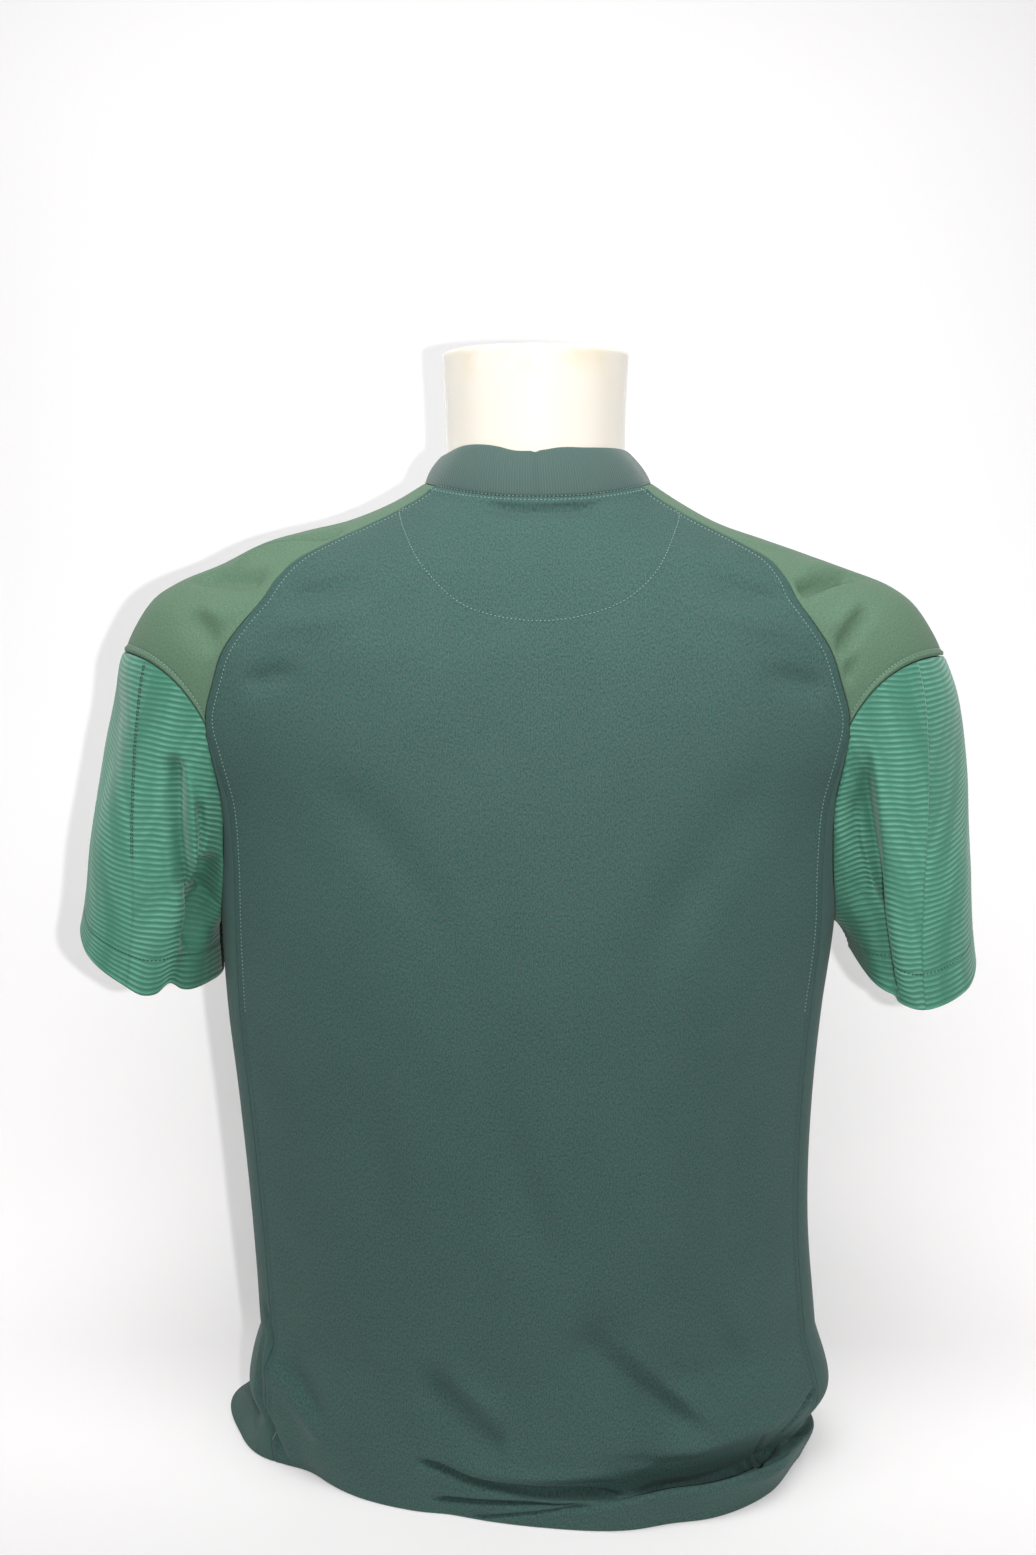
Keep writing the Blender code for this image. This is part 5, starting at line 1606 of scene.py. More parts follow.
@dataclass(frozen=True)
class BodyPanel:
    """Back or front panel, from the neck seam to the hem."""

    cut: Cut
    face: Face
    columns: Array
    raglan_rows: Array
    tube_rows: int
    hem_rows: Array
    thickness: float = 0.0011
    seam: SeamShape = SeamShape()
    crease_from: tuple[float, float] = (0.001, 0.008)  # from the neck seam: no crease, whole crease
    neck_edge: float = 0.3  # part of the seam's roll at the neck
    neck_roll: float = 0.0008
    neck_roll_at: float = 0.0045
    neck_roll_width: float = 0.0028
    neck_stitch: float = 0.0026
    stitch_end: float = 0.30  # the side seams' topstitch stops at this height
    moon_thickness: float = 0.0004
    moon_edge: tuple[float, float] = (-0.0006, 0.0012)
    half_moon: tuple[MoonRow, ...] = table(
        MoonRow,
        (0.0870, 0.6240),
        (0.0813, 0.6080),
        (0.0680, 0.5850),
        (0.0413, 0.5620),
        (-0.0020, 0.5540),
        (-0.0437, 0.5620),
        (-0.0702, 0.5812),
        (-0.0862, 0.6101),
        (-0.0905, 0.6225),
    )

    @property
    def name(self) -> str:
        """Name of the panel."""
        return f"{self.face.name.lower()}_panel"

    def heights(self) -> Array:
        """Heights of the rows above the hem, at the seams."""
        raglan = self.cut.raglan(self.raglan_rows, self.face, Hand.LEFT)[1]
        tube = np.linspace(self.cut.corner, self.cut.hem_top, self.tube_rows + 1)[1:]
        return np.concatenate([raglan, tube])

    def sheet(self, creases: BodyCreases) -> tuple[Sheet, dict[str, Array], Array]:
        """Panel and hem in one grid, with creases pressed in and the seams shaped.

        Args:
            creases: folds of the body.

        Returns:
            The sheet, its kept numbers and the places on the flat cloth.
        """
        heights = self.heights()
        tube = self.cut.panel(self.columns[None], heights[:, None], self.face)
        hem = self.cut.gathered(tube[-1], self.hem_rows)
        gap = self.cut.seam_gap / 2
        base = trimmed(np.concatenate([tube, hem]), gap, gap)
        flip = self.face < 0
        normals = grid_normals(base, flip)
        _, drops, edge, places = measure(base)
        lift = self.seam.lift(edge) - creases.depth(base, normals) * ease(drops, *self.crease_from)
        lift -= self.neck_edge * self.seam.roll * bell(drops, self.seam.roll_width)
        lift += self.neck_roll * bell(drops - self.neck_roll_at, self.neck_roll_width)
        if self.face > 0:
            lift += self.moon_thickness * self.inside_moon(base)
        points = base + normals * lift[..., None]
        keys = np.concatenate([-heights, self.hem_rows - self.cut.hem_top + 1e-6])
        sheet = Sheet(keys, self.columns, points, grid_normals(points, flip))
        # The kept seam share is painted shade over the seam allowances.
        return sheet, {"seam": self.seam.shadow(edge)}, places

    def inside_moon(self, points: Array) -> Array:
        """Share of the half-moon's double layer: 1 above its line, 0 below."""
        rows = np.array(self.half_moon)[::-1]
        line = np.interp(points[..., 0], rows[:, 0], rows[:, 1], left=1.0, right=1.0)
        return ease(points[..., 2] - line, *self.moon_edge)

    def moon_line(self, sheet: Sheet) -> tuple[Array, Array]:
        """Half-moon on the sheet: its (x, height) places are traced back to rows and columns.

        Newton's steps on the panel's surface, with its slopes from small differences.

        Args:
            sheet: the back panel.

        Returns:
            Points and normals of the line.
        """
        keyed = [(step, *row) for step, row in enumerate(self.half_moon)]
        target = through(keyed, np.linspace(0, len(self.half_moon) - 1, 200))
        across = target[:, 0] / between(self.cut.body, target[:, 1]).seam_x
        height = target[:, 1].copy()
        small, most_across, most_height, last_across = 1e-4, 0.1, 0.01, 0.97
        for _ in range(12):
            here = self.cut.panel(across, height, self.face)[:, [0, 2]]
            over = (self.cut.panel(across + small, height, self.face)[:, [0, 2]] - here) / small
            up = (self.cut.panel(across, height + small, self.face)[:, [0, 2]] - here) / small
            miss = target - here
            area = over[:, 0] * up[:, 1] - over[:, 1] * up[:, 0]
            go_across = (miss[:, 0] * up[:, 1] - miss[:, 1] * up[:, 0]) / area
            go_up = (over[:, 0] * miss[:, 1] - over[:, 1] * miss[:, 0]) / area
            across = across + np.clip(go_across, -most_across, most_across)
            height = height + np.clip(go_up, -most_height, most_height)
            across = np.clip(across, -last_across, last_across)
            height = np.clip(height, self.cut.corner, self.cut.raglan_top(self.face))
        return sheet.at(-height, across)

    def build(self, creases: BodyCreases, looks: Looks) -> None:
        """Panel with its topstitching.

        Args:
            creases: folds of the body.
            looks: materials by name.
        """
        sheet, values, places = self.sheet(creases)
        faces = [grid_faces(*sheet.points.shape[:2], self.face < 0)]
        piece = add_cloth(self.name, sheet.points, faces, values, places, looks["body"], self.thickness)
        long_rows = np.arange(3, np.searchsorted(sheet.rows, -self.stitch_end))
        lines = [sheet.beside(long_rows, self.seam.stitch_at, last) for last in (False, True)]
        lines.append(sheet.row_line(self.neck_stitch - self.cut.raglan_top(self.face), 300))
        if self.face > 0:
            lines.append(self.moon_line(sheet))
        stitches = Stitching().along(self.name, lines, looks["thread"])
        widths, drops = run_lengths(sheet.points, 1), run_lengths(sheet.points, 0)
        place = Place(self.name, "body_knit", "gathered", "torso_form")
        area = surface_area(sheet.points, faces)
        place.settle(piece, widths[:, -1].max(), drops[-1].max(), area, [stitches])


@dataclass(frozen=True)
class SidePanel:
    """Narrow side panel, from the armhole to the hem."""

    cut: Cut
    hand: Hand
    columns: Array
    upper_rows: Array
    tube_rows: int
    hem_rows: Array
    ear_tip: float = 0.008
    ear_gap: float = 0.0009
    tube_top: float = 0.330
    thickness: float = 0.0009
    # share of painted shade in a thin line along the seams
    seam_shade: float = 0.4
    seam: SeamShape = SeamShape()

    def build(self, creases: BodyCreases, looks: Looks) -> None:
        """Panel: rows fan out from the armhole's curve to the level tube, then the hem.

        Args:
            creases: folds of the body.
            looks: materials by name.
        """
        cut, around_side = self.cut, self.columns
        top = cut.armhole_height(around_side)
        share = self.upper_rows[:, None]
        upper = top[None] * (1 - share) + self.tube_top * share
        tube = np.linspace(self.tube_top, cut.hem_top, self.tube_rows + 1)[1:, None]
        heights = np.concatenate([upper, np.repeat(tube, len(around_side), axis=1)])
        grid = cut.side(around_side[None], heights, self.hand)
        grid = np.concatenate([grid, cut.gathered(grid[-1], self.hem_rows)])
        tips = grid[0, [0, -1]] + unit(grid[1, [0, -1]] - grid[0, [0, -1]]) * self.ear_tip
        base = trimmed(grid, cut.angled_gap, cut.seam_gap / 2)
        base[0, [0, -1]] = tips + unit(grid[1, [1, -2]] - grid[1, [0, -1]]) * self.ear_gap
        flip = self.hand > 0
        normals = grid_normals(base, flip)
        widths, drops, edge, places = measure(base)
        lift = self.seam.lift(edge, raised=False) - self.seam.roll * bell(drops, self.seam.roll_width)
        points = base + normals * (lift - creases.depth(base, normals))[..., None]
        name = f"side_panel_{self.hand.word}"
        faces = [grid_faces(*points.shape[:2], flip)]
        # Painted shade in a thin line along the seams.
        values = {"seam": self.seam.edge_line(edge, self.seam_shade)}
        piece = add_cloth(name, points, faces, values, places, looks["body"], self.thickness)
        widest = widths[len(self.upper_rows) :, -1].max()
        place = Place(name, "body_knit", "gathered", "torso_form")
        place.settle(piece, widest, drops[-1].max(), surface_area(points, faces))


# ---- Saddles and sleeves ----

LEFT_SADDLE_CREASES = table(
    Crease,
    (((0.52, 0.15), (0.422, 0.438), (0.327, 0.773), (0.30, 0.88)), 0.0058, 0.0060, 0.0050, 0.25),
    (((0.583, 0.398), (0.477, 0.559), (0.357, 0.913)), -0.0036, 0.0050, 0.0060, 0.3),
    (((0.68, 0.34), (0.648, 0.438), (0.598, 0.639), (0.568, 0.779), (0.568, 0.97)),
     0.0085, 0.0066, 0.0105, 0.25),
    (((0.754, 0.706), (0.734, 0.839), (0.704, 0.967)), -0.0030, 0.0070, 0.0045, 0.35),
    (((0.77, 0.70), (0.784, 0.806), (0.794, 0.920), (0.824, 0.980)), 0.0044, 0.0060, 0.0090, 0.35),
    (((0.42, -0.20), (0.46, -0.60), (0.45, -0.92)), 0.0032, 0.0080, 0.0070, 0.35),
    (((0.66, -0.50), (0.70, -0.75), (0.68, -0.95)), 0.0024, 0.0080, 0.0070, 0.4),
)
RIGHT_SADDLE_CREASES = table(
    Crease,
    (((0.588, 0.98), (0.588, 0.906), (0.593, 0.726), (0.618, 0.485), (0.65, 0.30)),
     0.0095, 0.0045, 0.0050, 0.25),
    (((0.518, 0.88), (0.533, 0.585), (0.583, 0.197)), -0.0018, 0.0060, 0.0060),
    (((0.633, 0.95), (0.643, 0.793), (0.668, 0.572)), -0.0016, 0.0045, 0.0045),
    (((0.815, 0.99), (0.804, 0.973), (0.794, 0.886), (0.779, 0.779), (0.765, 0.65)),
     0.0070, 0.0036, 0.0055, 0.25),
    (((0.735, 0.98), (0.744, 0.846), (0.735, 0.68)), -0.0018, 0.0050, 0.0045),
    (((0.888, 0.993), (0.879, 0.946), (0.866, 0.89)), 0.0036, 0.0030, 0.0035),
    (((0.317, 0.95), (0.382, 0.839), (0.442, 0.465)), -0.0014, 0.0045, 0.0045),
    (((0.46, -0.25), (0.50, -0.60), (0.48, -0.92)), 0.0026, 0.0080, 0.0070, 0.35),
    (((0.70, -0.45), (0.73, -0.75), (0.70, -0.95)), 0.0020, 0.0080, 0.0070, 0.4),
)


@dataclass(frozen=True)
class Saddle:
    """Saddle panel over a shoulder, from the collar to the sleeve seam."""

    cut: Cut
    hand: Hand
    rows: Array
    columns: Array
    thickness: float = 0.0010
    seam: SeamShape = SeamShape()
    welt: float = 0.0009  # height of the roll beside the sleeve seam
    welt_width: float = 0.0020
    welt_stitch: float = 0.0046
    roll_width: float = 0.0008  # of the cloth's roll into the sleeve seam
    welt_dip: float = 0.0003  # groove under the stitches
    # share of painted shade in a thin line along the seams
    edge_shade: float = 0.2
    crease_from: tuple[float, float] = (0.0005, 0.008)  # from an edge: no crease, whole crease

    def build(self, looks: Looks) -> None:
        """Saddle with its creases, the welt along the sleeve seam and its stitches.

        Args:
            looks: materials by name.
        """
        cut = self.cut
        gap = cut.seam_gap / 2
        base = trimmed(cut.saddle(self.rows[:, None], self.columns[None], self.hand), gap, gap, gap)
        flip = self.hand > 0
        normals = grid_normals(base, flip)
        widths, runs, edge, flat_places = measure(base)
        to_sleeve = runs[-1:] - runs
        creases = LEFT_SADDLE_CREASES if self.hand > 0 else RIGHT_SADDLE_CREASES

        def place(places: Array) -> Array:
            """Points of (step, across) places."""
            return cut.saddle(places[:, 0], places[:, 1], self.hand)

        inside = ease(np.minimum(edge, to_sleeve), *self.crease_from)
        lift = self.seam.lift(edge, raised=False) - crease_depth(base, normals, creases, place) * inside
        lift -= self.seam.roll * bell(runs, self.seam.roll_width)
        lift += self.welt * bell(to_sleeve - self.welt_width, self.welt_width * 0.75)
        lift -= self.seam.roll * bell(to_sleeve, self.roll_width)
        lift -= self.welt_dip * bell(to_sleeve - self.welt_stitch, self.seam.stitch_width)
        points = base + normals * lift[..., None]
        sheet = Sheet(self.rows, self.columns, points, grid_normals(points, flip))
        name = f"shoulder_{self.hand.word}"
        faces = [grid_faces(*points.shape[:2], flip)]
        # Painted shade in a thin line along the raglan and sleeve seams.
        values = {"seam": self.seam.edge_line(np.minimum(edge, to_sleeve), self.edge_shade)}
        piece = add_cloth(name, points, faces, values, flat_places, looks["saddle"], self.thickness)
        lengths = runs[:, len(self.columns) // 2]
        row = float(np.interp(lengths[-1] - self.welt_stitch, lengths, self.rows))
        stitches = Stitching().along(name, [sheet.row_line(row, 260)], looks["thread"])
        area = surface_area(points, faces)
        settled = Place(name, "saddle_knit", "draped", "torso_form")
        settled.settle(piece, widths[:, -1].max(), runs[-1].max(), area, [stitches])


# Creases of the sleeves, by direction around them and distance from the cuff.
LEFT_SLEEVE_CREASES = table(
    Crease,
    (((80, 0.156), (82, 0.142), (87, 0.110), (94, 0.089), (104, 0.067), (124, 0.042)),
     0.0100, 0.0040, 0.0065, 0.2),
    (((86, 0.154), (94, 0.131), (99, 0.108), (103, 0.086), (109, 0.070)), -0.0036, 0.0026, 0.0040, 0.3),
    (((98, 0.130), (102, 0.108), (105, 0.082), (120, 0.0646), (130, 0.0553)), 0.0070, 0.0034, 0.0010, 0.15),
    (((66, 0.120), (70, 0.080), (74, 0.035)), 0.0020, 0.0060, 0.0060, 0.4),
    (((108, 0.095), (120, 0.065), (128, 0.020)), 0.0150, 0.0110, 0.0130, 0.25),
    (((18, 0.205), (20, 0.170), (20, 0.130), (18, 0.070)), 0.0085, 0.0300, 0.0300, 0.4),
    (((-80, 0.140), (-90, 0.090), (-96, 0.040)), 0.0030, 0.0060, 0.0060, 0.4),
)
RIGHT_SLEEVE_CREASES = table(
    Crease,
    (((90, 0.168), (90, 0.1155), (92, 0.082), (99, 0.0465), (101, 0.0206), (90, 0.002)),
     0.0130, 0.0020, 0.0085, 0.15),
    (((102, 0.140), (104, 0.1156), (110, 0.080), (120, 0.047)), 0.0070, 0.0050, 0.0045, 0.3),
    (((66, 0.150), (62, 0.080), (58, 0.020)), 0.0010, 0.0050, 0.0050, 0.4),
    (((24, 0.200), (28, 0.160), (24, 0.110), (14, 0.060)), 0.0050, 0.0300, 0.0300, 0.4),
    (((-84, 0.150), (-92, 0.090), (-88, 0.030)), 0.0030, 0.0060, 0.0060, 0.4),
)


@dataclass(frozen=True)
class Sleeve:
    """Short ribbed sleeve in two halves that meet at the outer seam and under the arm."""

    cut: Cut
    hand: Hand
    pitch: float = 0.0036
    rib_height: float = 0.00048
    fold_turn: float = 108.0  # direction of the deep folds, where the ribs are pushed up higher
    fold_ribs: float = 1.1
    rows_per_rib: int = 6
    thickness: float = 0.0009
    wave: float = 0.0006  # how far a rib wanders along the sleeve
    waves: tuple[tuple[float, ...], ...] = (  # share, waves around, radians a metre, start
        (1.0, 5, 40, 0.0),
        (0.6, 11, -90, 1.3),
    )
    wave_from: tuple[float, float] = (0.004, 0.020)  # from the cuff: no wave, whole wave
    jog: float = 0.0011  # how far the ribs step over in their slanted zone
    jog_turn: float = 60.0
    jog_width: float = 5.0
    rib_power: float = 0.8  # under 1: broad crests, narrow valleys
    top_flat: float = 0.002  # the ribs fade over this distance from the armhole
    fold_width: float = 13.0
    armhole_fade: float = 0.012  # creases fade over this distance from the armhole
    armhole_width: float = 0.0012  # of the roll into the armhole's seam
    # share of painted shade along the armhole seam
    armhole_shade: float = 0.25
    cuff_stitch: float = 0.0225
    cuff_dip: float = 0.0005
    seam_groove: float = 0.0006
    groove_width: float = 0.0010
    seam_width: float = 0.0009
    seam_faint: float = 0.12  # strength of the groove and its painted shade near the cuff, and all down the right sleeve
    seam_more: float = 0.38  # added above its end
    seam_fade: tuple[float, float] = (-0.02, 0.03)
    seam_end: float = 0.085  # the left outer seam's stitches stop at this distance from the cuff
    cuff_reach: float = 0.05
    cuff_power: float = 1.5
    cuff_rise: tuple[tuple[float, float], ...] = (  # direction, how far the left cuff's edge is drawn up
        (-100, 0.0),
        (-40, 0.0060),
        (-5, 0.0120),
        (15, 0.0120),
        (45, 0.0060),
        (68, 0.0),
        (84, 0.0010),
        (104, 0.0070),
        (120, 0.0020),
        (160, 0.0),
    )
    seam: SeamShape = SeamShape()

    def half(self, turns: Array) -> tuple[Array, Array, Array, Array]:
        """Points of half a sleeve in rows at even distances from the cuff.

        A column that has reached the armhole stays on its last point, so the rows are cut off
        along the slanted seam.

        Args:
            turns: directions of the columns.

        Returns:
            Points, normals, distances from the cuff and the distance still to the armhole.
        """
        columns, outward, lengths = self.cut.sleeve(turns, self.hand)
        creases = LEFT_SLEEVE_CREASES if self.hand > 0 else RIGHT_SLEEVE_CREASES
        depth = crease_depth(columns, outward, creases, self.places)
        depth *= ease(lengths[-1] - lengths, 0.0, self.armhole_fade)
        columns = columns - outward * depth[..., None]
        total = lengths[-1] - self.cut.angled_gap
        step = self.pitch / self.rows_per_rib
        row = np.arange(int(math.ceil(total.max() / step)) + 1)[:, None] * step
        at = np.minimum(row, total[None])
        points, normals = self.read(lengths, at, columns, outward)
        if self.hand > 0:
            near_cuff = np.clip(1 - at / self.cuff_reach, 0, 1) ** self.cuff_power
            points[..., 2] += around(self.cuff_rise, turns)[:, 0] * near_cuff
        return points, unit(normals), at, total[None] - at

    def read(self, lengths: Array, at: Array, *grids: Array) -> list[Array]:
        """Grids read where each column's running length is the one asked for.

        The sample is guessed from the whole length, then put right from the two samples beside it.

        Args:
            lengths: running lengths down the columns.
            at: lengths to read at, a column each.
            grids: grids of points or directions.

        Returns:
            What each grid holds there, straight between its samples.
        """
        last, column = len(lengths) - 1, np.arange(lengths.shape[1])[None]
        place = at / lengths[-1] * last
        for _ in range(8):
            low = np.clip(place.astype(int), 0, last - 1)
            here, after = lengths[low, column], lengths[low + 1, column]
            place = np.clip(low + (at - here) / np.maximum(after - here, 1e-9), 0, last)
        low = np.clip(place.astype(int), 0, last - 1)
        share = (place - low)[..., None]
        return [grid[low, column] * (1 - share) + grid[low + 1, column] * share for grid in grids]

    def places(self, spots: Array) -> Array:
        """Points of (direction, distance from the cuff) places."""
        columns, _, lengths = self.cut.sleeve(spots[:, 0], self.hand)
        return self.read(lengths, spots[None, :, 1], columns)[0][0]

    def outer_seam(self, at: Array) -> Array:
        """Strength of the outer seam's groove and painted shade, by distance from the cuff: weak near it, and
        all down the right sleeve.
        """
        low, high = (self.seam_end + part for part in self.seam_fade)
        return self.seam_faint + self.seam_more * ease(at, low, high) * (self.hand > 0)

    def phase(self, turns: Array, at: Array) -> Array:
        """Place across the ribs: the distance from the cuff, wavering around the sleeve."""
        turn = np.radians(turns)[None]
        waver = sum(tall * np.sin(count * turn + rate * at + start) for tall, count, rate, start in self.waves)
        jog = ease(turns - self.jog_turn, -self.jog_width, self.jog_width)[None] * (self.hand < 0)
        return at + self.wave * waver * ease(at, *self.wave_from) + self.jog * jog

    def build_half(self, word: str, turns: Array, looks: Looks) -> None:
        """One half, with its stitches.

        Args:
            word: back or front.
            turns: directions of its columns.
            looks: materials by name.
        """
        points, normals, at, left = self.half(turns)
        rows, columns = at.shape
        widths = run_lengths(points, 1)
        edge = np.minimum(widths, widths[:, -1:] - widths)
        phase = self.phase(turns, at)
        rib = 0.5 - 0.5 * np.cos(2 * np.pi * phase / self.pitch)
        tall = 1 + self.fold_ribs * bell(turns - self.fold_turn, self.fold_width)[None]
        lift = self.rib_height * tall * rib**self.rib_power * ease(left, 0.0, self.top_flat)
        lift -= self.seam.roll * bell(left, self.armhole_width)
        lift -= self.seam_groove * self.outer_seam(at) * bell(edge, self.groove_width)
        lift -= self.cuff_dip * bell(at - self.cuff_stitch, self.seam_width)
        points = points + normals * lift[..., None]
        used = (left > 0) | (np.cumsum(left <= 0, axis=0) == 1)
        last = used.sum(axis=0) - 1
        row, column = np.meshgrid(np.arange(rows), np.arange(columns), indexing="ij")
        quads = cell_corners(np.minimum(row, last[None]) * columns + column)
        left_still, right_still = quads[:, 0] == quads[:, 3], quads[:, 1] == quads[:, 2]
        parts = [
            quads[~left_still & ~right_still],
            quads[left_still & ~right_still][:, [0, 1, 2]],
            quads[right_still & ~left_still][:, [0, 1, 3]],
        ]
        number = np.full(rows * columns, -1)
        keep = np.flatnonzero(used.ravel())
        number[keep] = np.arange(len(keep))
        parts = [number[part][:, :: self.hand] for part in parts]
        # Painted shade along the outer seam and the armhole seam.
        top_dark = self.armhole_shade * bell(left, self.seam_width)
        dark = np.maximum(self.outer_seam(at) * bell(edge, self.seam_width), top_dark)
        values = {"phase": phase.ravel()[keep], "seam": dark.ravel()[keep]}
        places = np.stack([widths - widths[:, -1:] / 2, at], axis=-1).reshape(-1, 2)[keep]
        name = f"sleeve_{self.hand.word}_{word}"
        kept = points.reshape(-1, 3)[keep]
        piece = add_cloth(name, kept, parts, values, places, looks["rib"], self.thickness)
        lines = self.stitch_lines(points, normals, at, left, turns)
        stitches = Stitching().along(name, lines, looks["dark_thread"])
        widest = widths[left.min(axis=1) > 0, -1].max()
        place = Place(name, "sleeve_rib", "hung", f"shoulder_{self.hand.word}")
        place.settle(piece, widest, at.max(), surface_area(kept, parts), [stitches])

    def stitch_lines(
        self, points: Array, normals: Array, at: Array, left: Array, turns: Array
    ) -> list[tuple[Array, Array]]:
        """Lines of stitches: around the cuff, and beside the outer seam.

        Args:
            points, normals: the half's grid.
            at: distances from the cuff.
            left: distances still to the armhole.
            turns: directions of the columns.

        Returns:
            Points and normals of each line.
        """
        row = int(round(self.cuff_stitch / (self.pitch / self.rows_per_rib)))
        lines = [(points[row], normals[row])]
        if self.hand > 0:
            seam = 0 if turns[0] < 100 else -1
            rows = np.flatnonzero((left[:, seam] > self.top_flat) & (at[:, seam] > self.seam_end))
            inside = 1 if seam == 0 else -2
            lines.append((points[rows, inside], normals[rows, inside]))
        return lines

    def build(self, looks: Looks) -> None:
        """Both halves."""
        outer = self.cut.outer_turn
        back = (outer, outer + 3, 4), (outer + 3, 80, 12), (80, 126, 46), (126, 177, 18), (177, 180, 3)
        outer += 360
        front = (180, 183, 3), (183, outer - 3, 74), (outer - 3, outer, 4)
        self.build_half("back", spread(*back), looks)
        self.build_half("front", spread(*front), looks)


# ---- Collar and form ----


@dataclass(frozen=True)
class Collar:
    """Stand collar of double knit around the neck seam, folded over at its upper edge."""

    cut: Cut
    top_half_width: float = 0.0617
    top_back: float = 0.0580
    top_front: float = 0.0790
    top_side_height: float = 0.6620
    top_back_drop: float = 0.0040
    top_front_drop: float = 0.0660
    bulge: float = 0.0015
    gap: float = 0.0001
    thickness: float = 0.0020
    columns: int = 360
    rows: int = 13
    rim_rows: int = 6
    seam_turn: float = 89.5  # direction of its seam, in degrees
    seam_width: float = 0.7  # half width of the seam's groove, in degrees
    seam_dip: float = 0.0005
    # share of painted shade in the seam's groove
    seam_shade: float = 0.5
    notch: float = 0.0010  # how far the upper edge dips at the seam
    notch_width: float = 1.0
    neck_dip: float = 0.0002
    neck_dip_width: float = 0.0012
    stand: float = 0.03  # height for which the widths across it are given
    stitch_height: float = 0.0006
    cut_height: float = 0.062  # of the band before it is folded double
    wave: tuple[tuple[float, float], ...] = (  # direction in degrees, lift of the upper edge
        (0, -0.0045),
        (25, -0.0025),
        (46, 0.0025),
        (59, 0.0034),
        (70, 0.0024),
        (80, 0.0),
        (90, 0.0),
        (100, 0.0018),
        (116, 0.0016),
        (150, 0.0),
        (170, -0.0028),
        (195, -0.0030),
        (230, 0.0),
        (270, 0.0010),
        (315, 0.0),
    )

    def ring(
        self, turn: Array, middle_x: float, half_width: float, back: float, front: float,
        side_height: float, back_drop: float, front_drop: float,
    ) -> Array:
        """Rounded oval that drops behind and, further, in front, with the square of its depth."""
        flat_x, flat_y = oval(turn, self.cut.neck_power)
        reach = np.where(flat_y > 0, back, front)
        drop = np.where(flat_y > 0, back_drop, front_drop)
        return np.stack([middle_x + half_width * flat_x, reach * flat_y, side_height - drop * flat_y**2], -1)

    def build(self, looks: Looks) -> None:
        """Collar: up the outside, over a half-round rim and down the inside, closed below.

        Args:
            looks: materials by name.
        """
        cut = self.cut
        turn = np.linspace(0, 2 * np.pi, self.columns, endpoint=False)
        base = self.ring(
            turn, cut.neck_middle_x, cut.neck_half_width, cut.neck_back, cut.neck_front,
            cut.neck_side_height, cut.neck_back_drop, cut.neck_front_drop,
        )
        top = self.ring(
            turn, 0.0, self.top_half_width, self.top_back, self.top_front,
            self.top_side_height, self.top_back_drop, self.top_front_drop,
        )
        direction = np.degrees(turn)
        off_seam = direction - self.seam_turn
        top[:, 2] += around(self.wave, direction)[:, 0] - self.notch * bell(off_seam, self.notch_width)
        base = base + unit(top - base) * self.gap
        outward = unit((base - np.array([cut.neck_middle_x, 0.0, 0.0])) * np.array([1.0, 1.0, 0.0]))
        half = self.thickness / 2
        step = np.linspace(0, 1, self.rows)[:, None, None]
        rise = unit(top - base)
        top = top - rise * half
        wall = base + (top - base) * step + outward * self.bulge * 4 * step * (1 - step)
        facing = unit(np.cross(np.roll(base, -1, axis=0) - np.roll(base, 1, axis=0), rise))
        seam_line = bell(off_seam, self.seam_width)[None]
        neck_dip = bell(step * self.stand, self.neck_dip_width) * self.neck_dip
        angle = np.linspace(0, np.pi, self.rim_rows)[1:-1, None, None]
        rim = top + half * (np.cos(angle) * facing - facing + np.sin(angle) * rise)
        outer = wall - facing * (seam_line[..., None] * self.seam_dip + neck_dip)
        inner = wall[::-1] - facing * self.thickness
        points = np.concatenate([outer, rim, inner, outer[:1]])[:-1]
        rows, columns = points.shape[:2]
        faces = [grid_faces(rows, columns, True, closed=True)]
        under = np.stack([np.arange(columns), (np.arange(columns) + 1) % columns], axis=-1)
        bottom = np.concatenate([under + (rows - 1) * columns, under[:, ::-1]], axis=-1)
        faces.append(bottom[:, ::-1])
        around_length = run_lengths(np.vstack([base, base[:1]]), 0)[:-1]
        drops = run_lengths(points, 0)
        places = np.stack([np.broadcast_to(around_length, drops.shape), drops], axis=-1)
        dark = np.zeros(drops.shape)
        # Painted shade down the seam's groove.
        dark[: self.rows] = self.seam_shade * seam_line
        piece = add_cloth("collar", points, faces, {"seam": dark}, places, looks["collar"])
        share = self.stitch_height / self.stand
        ring = base + (top - base) * share + outward * self.bulge * 4 * share * (1 - share)
        line = (np.vstack([ring, ring[:1]]), np.vstack([facing, facing[:1]]))
        stitches = Stitching(length=0.0012, width=0.0005).along("collar", [line], looks["thread"])
        place = Place("collar", "collar_knit", "stretched", "torso_form")
        place.settle(piece, around_length[-1], self.cut_height, 0.5 * surface_area(points, faces), [stitches])


class FormRow(NamedTuple):
    """Ring of the torso form: its side, back and front lines and how square it is."""

    side_x: float
    side_height: float
    back_y: float
    back_height: float
    front_y: float
    front_height: float
    power: float


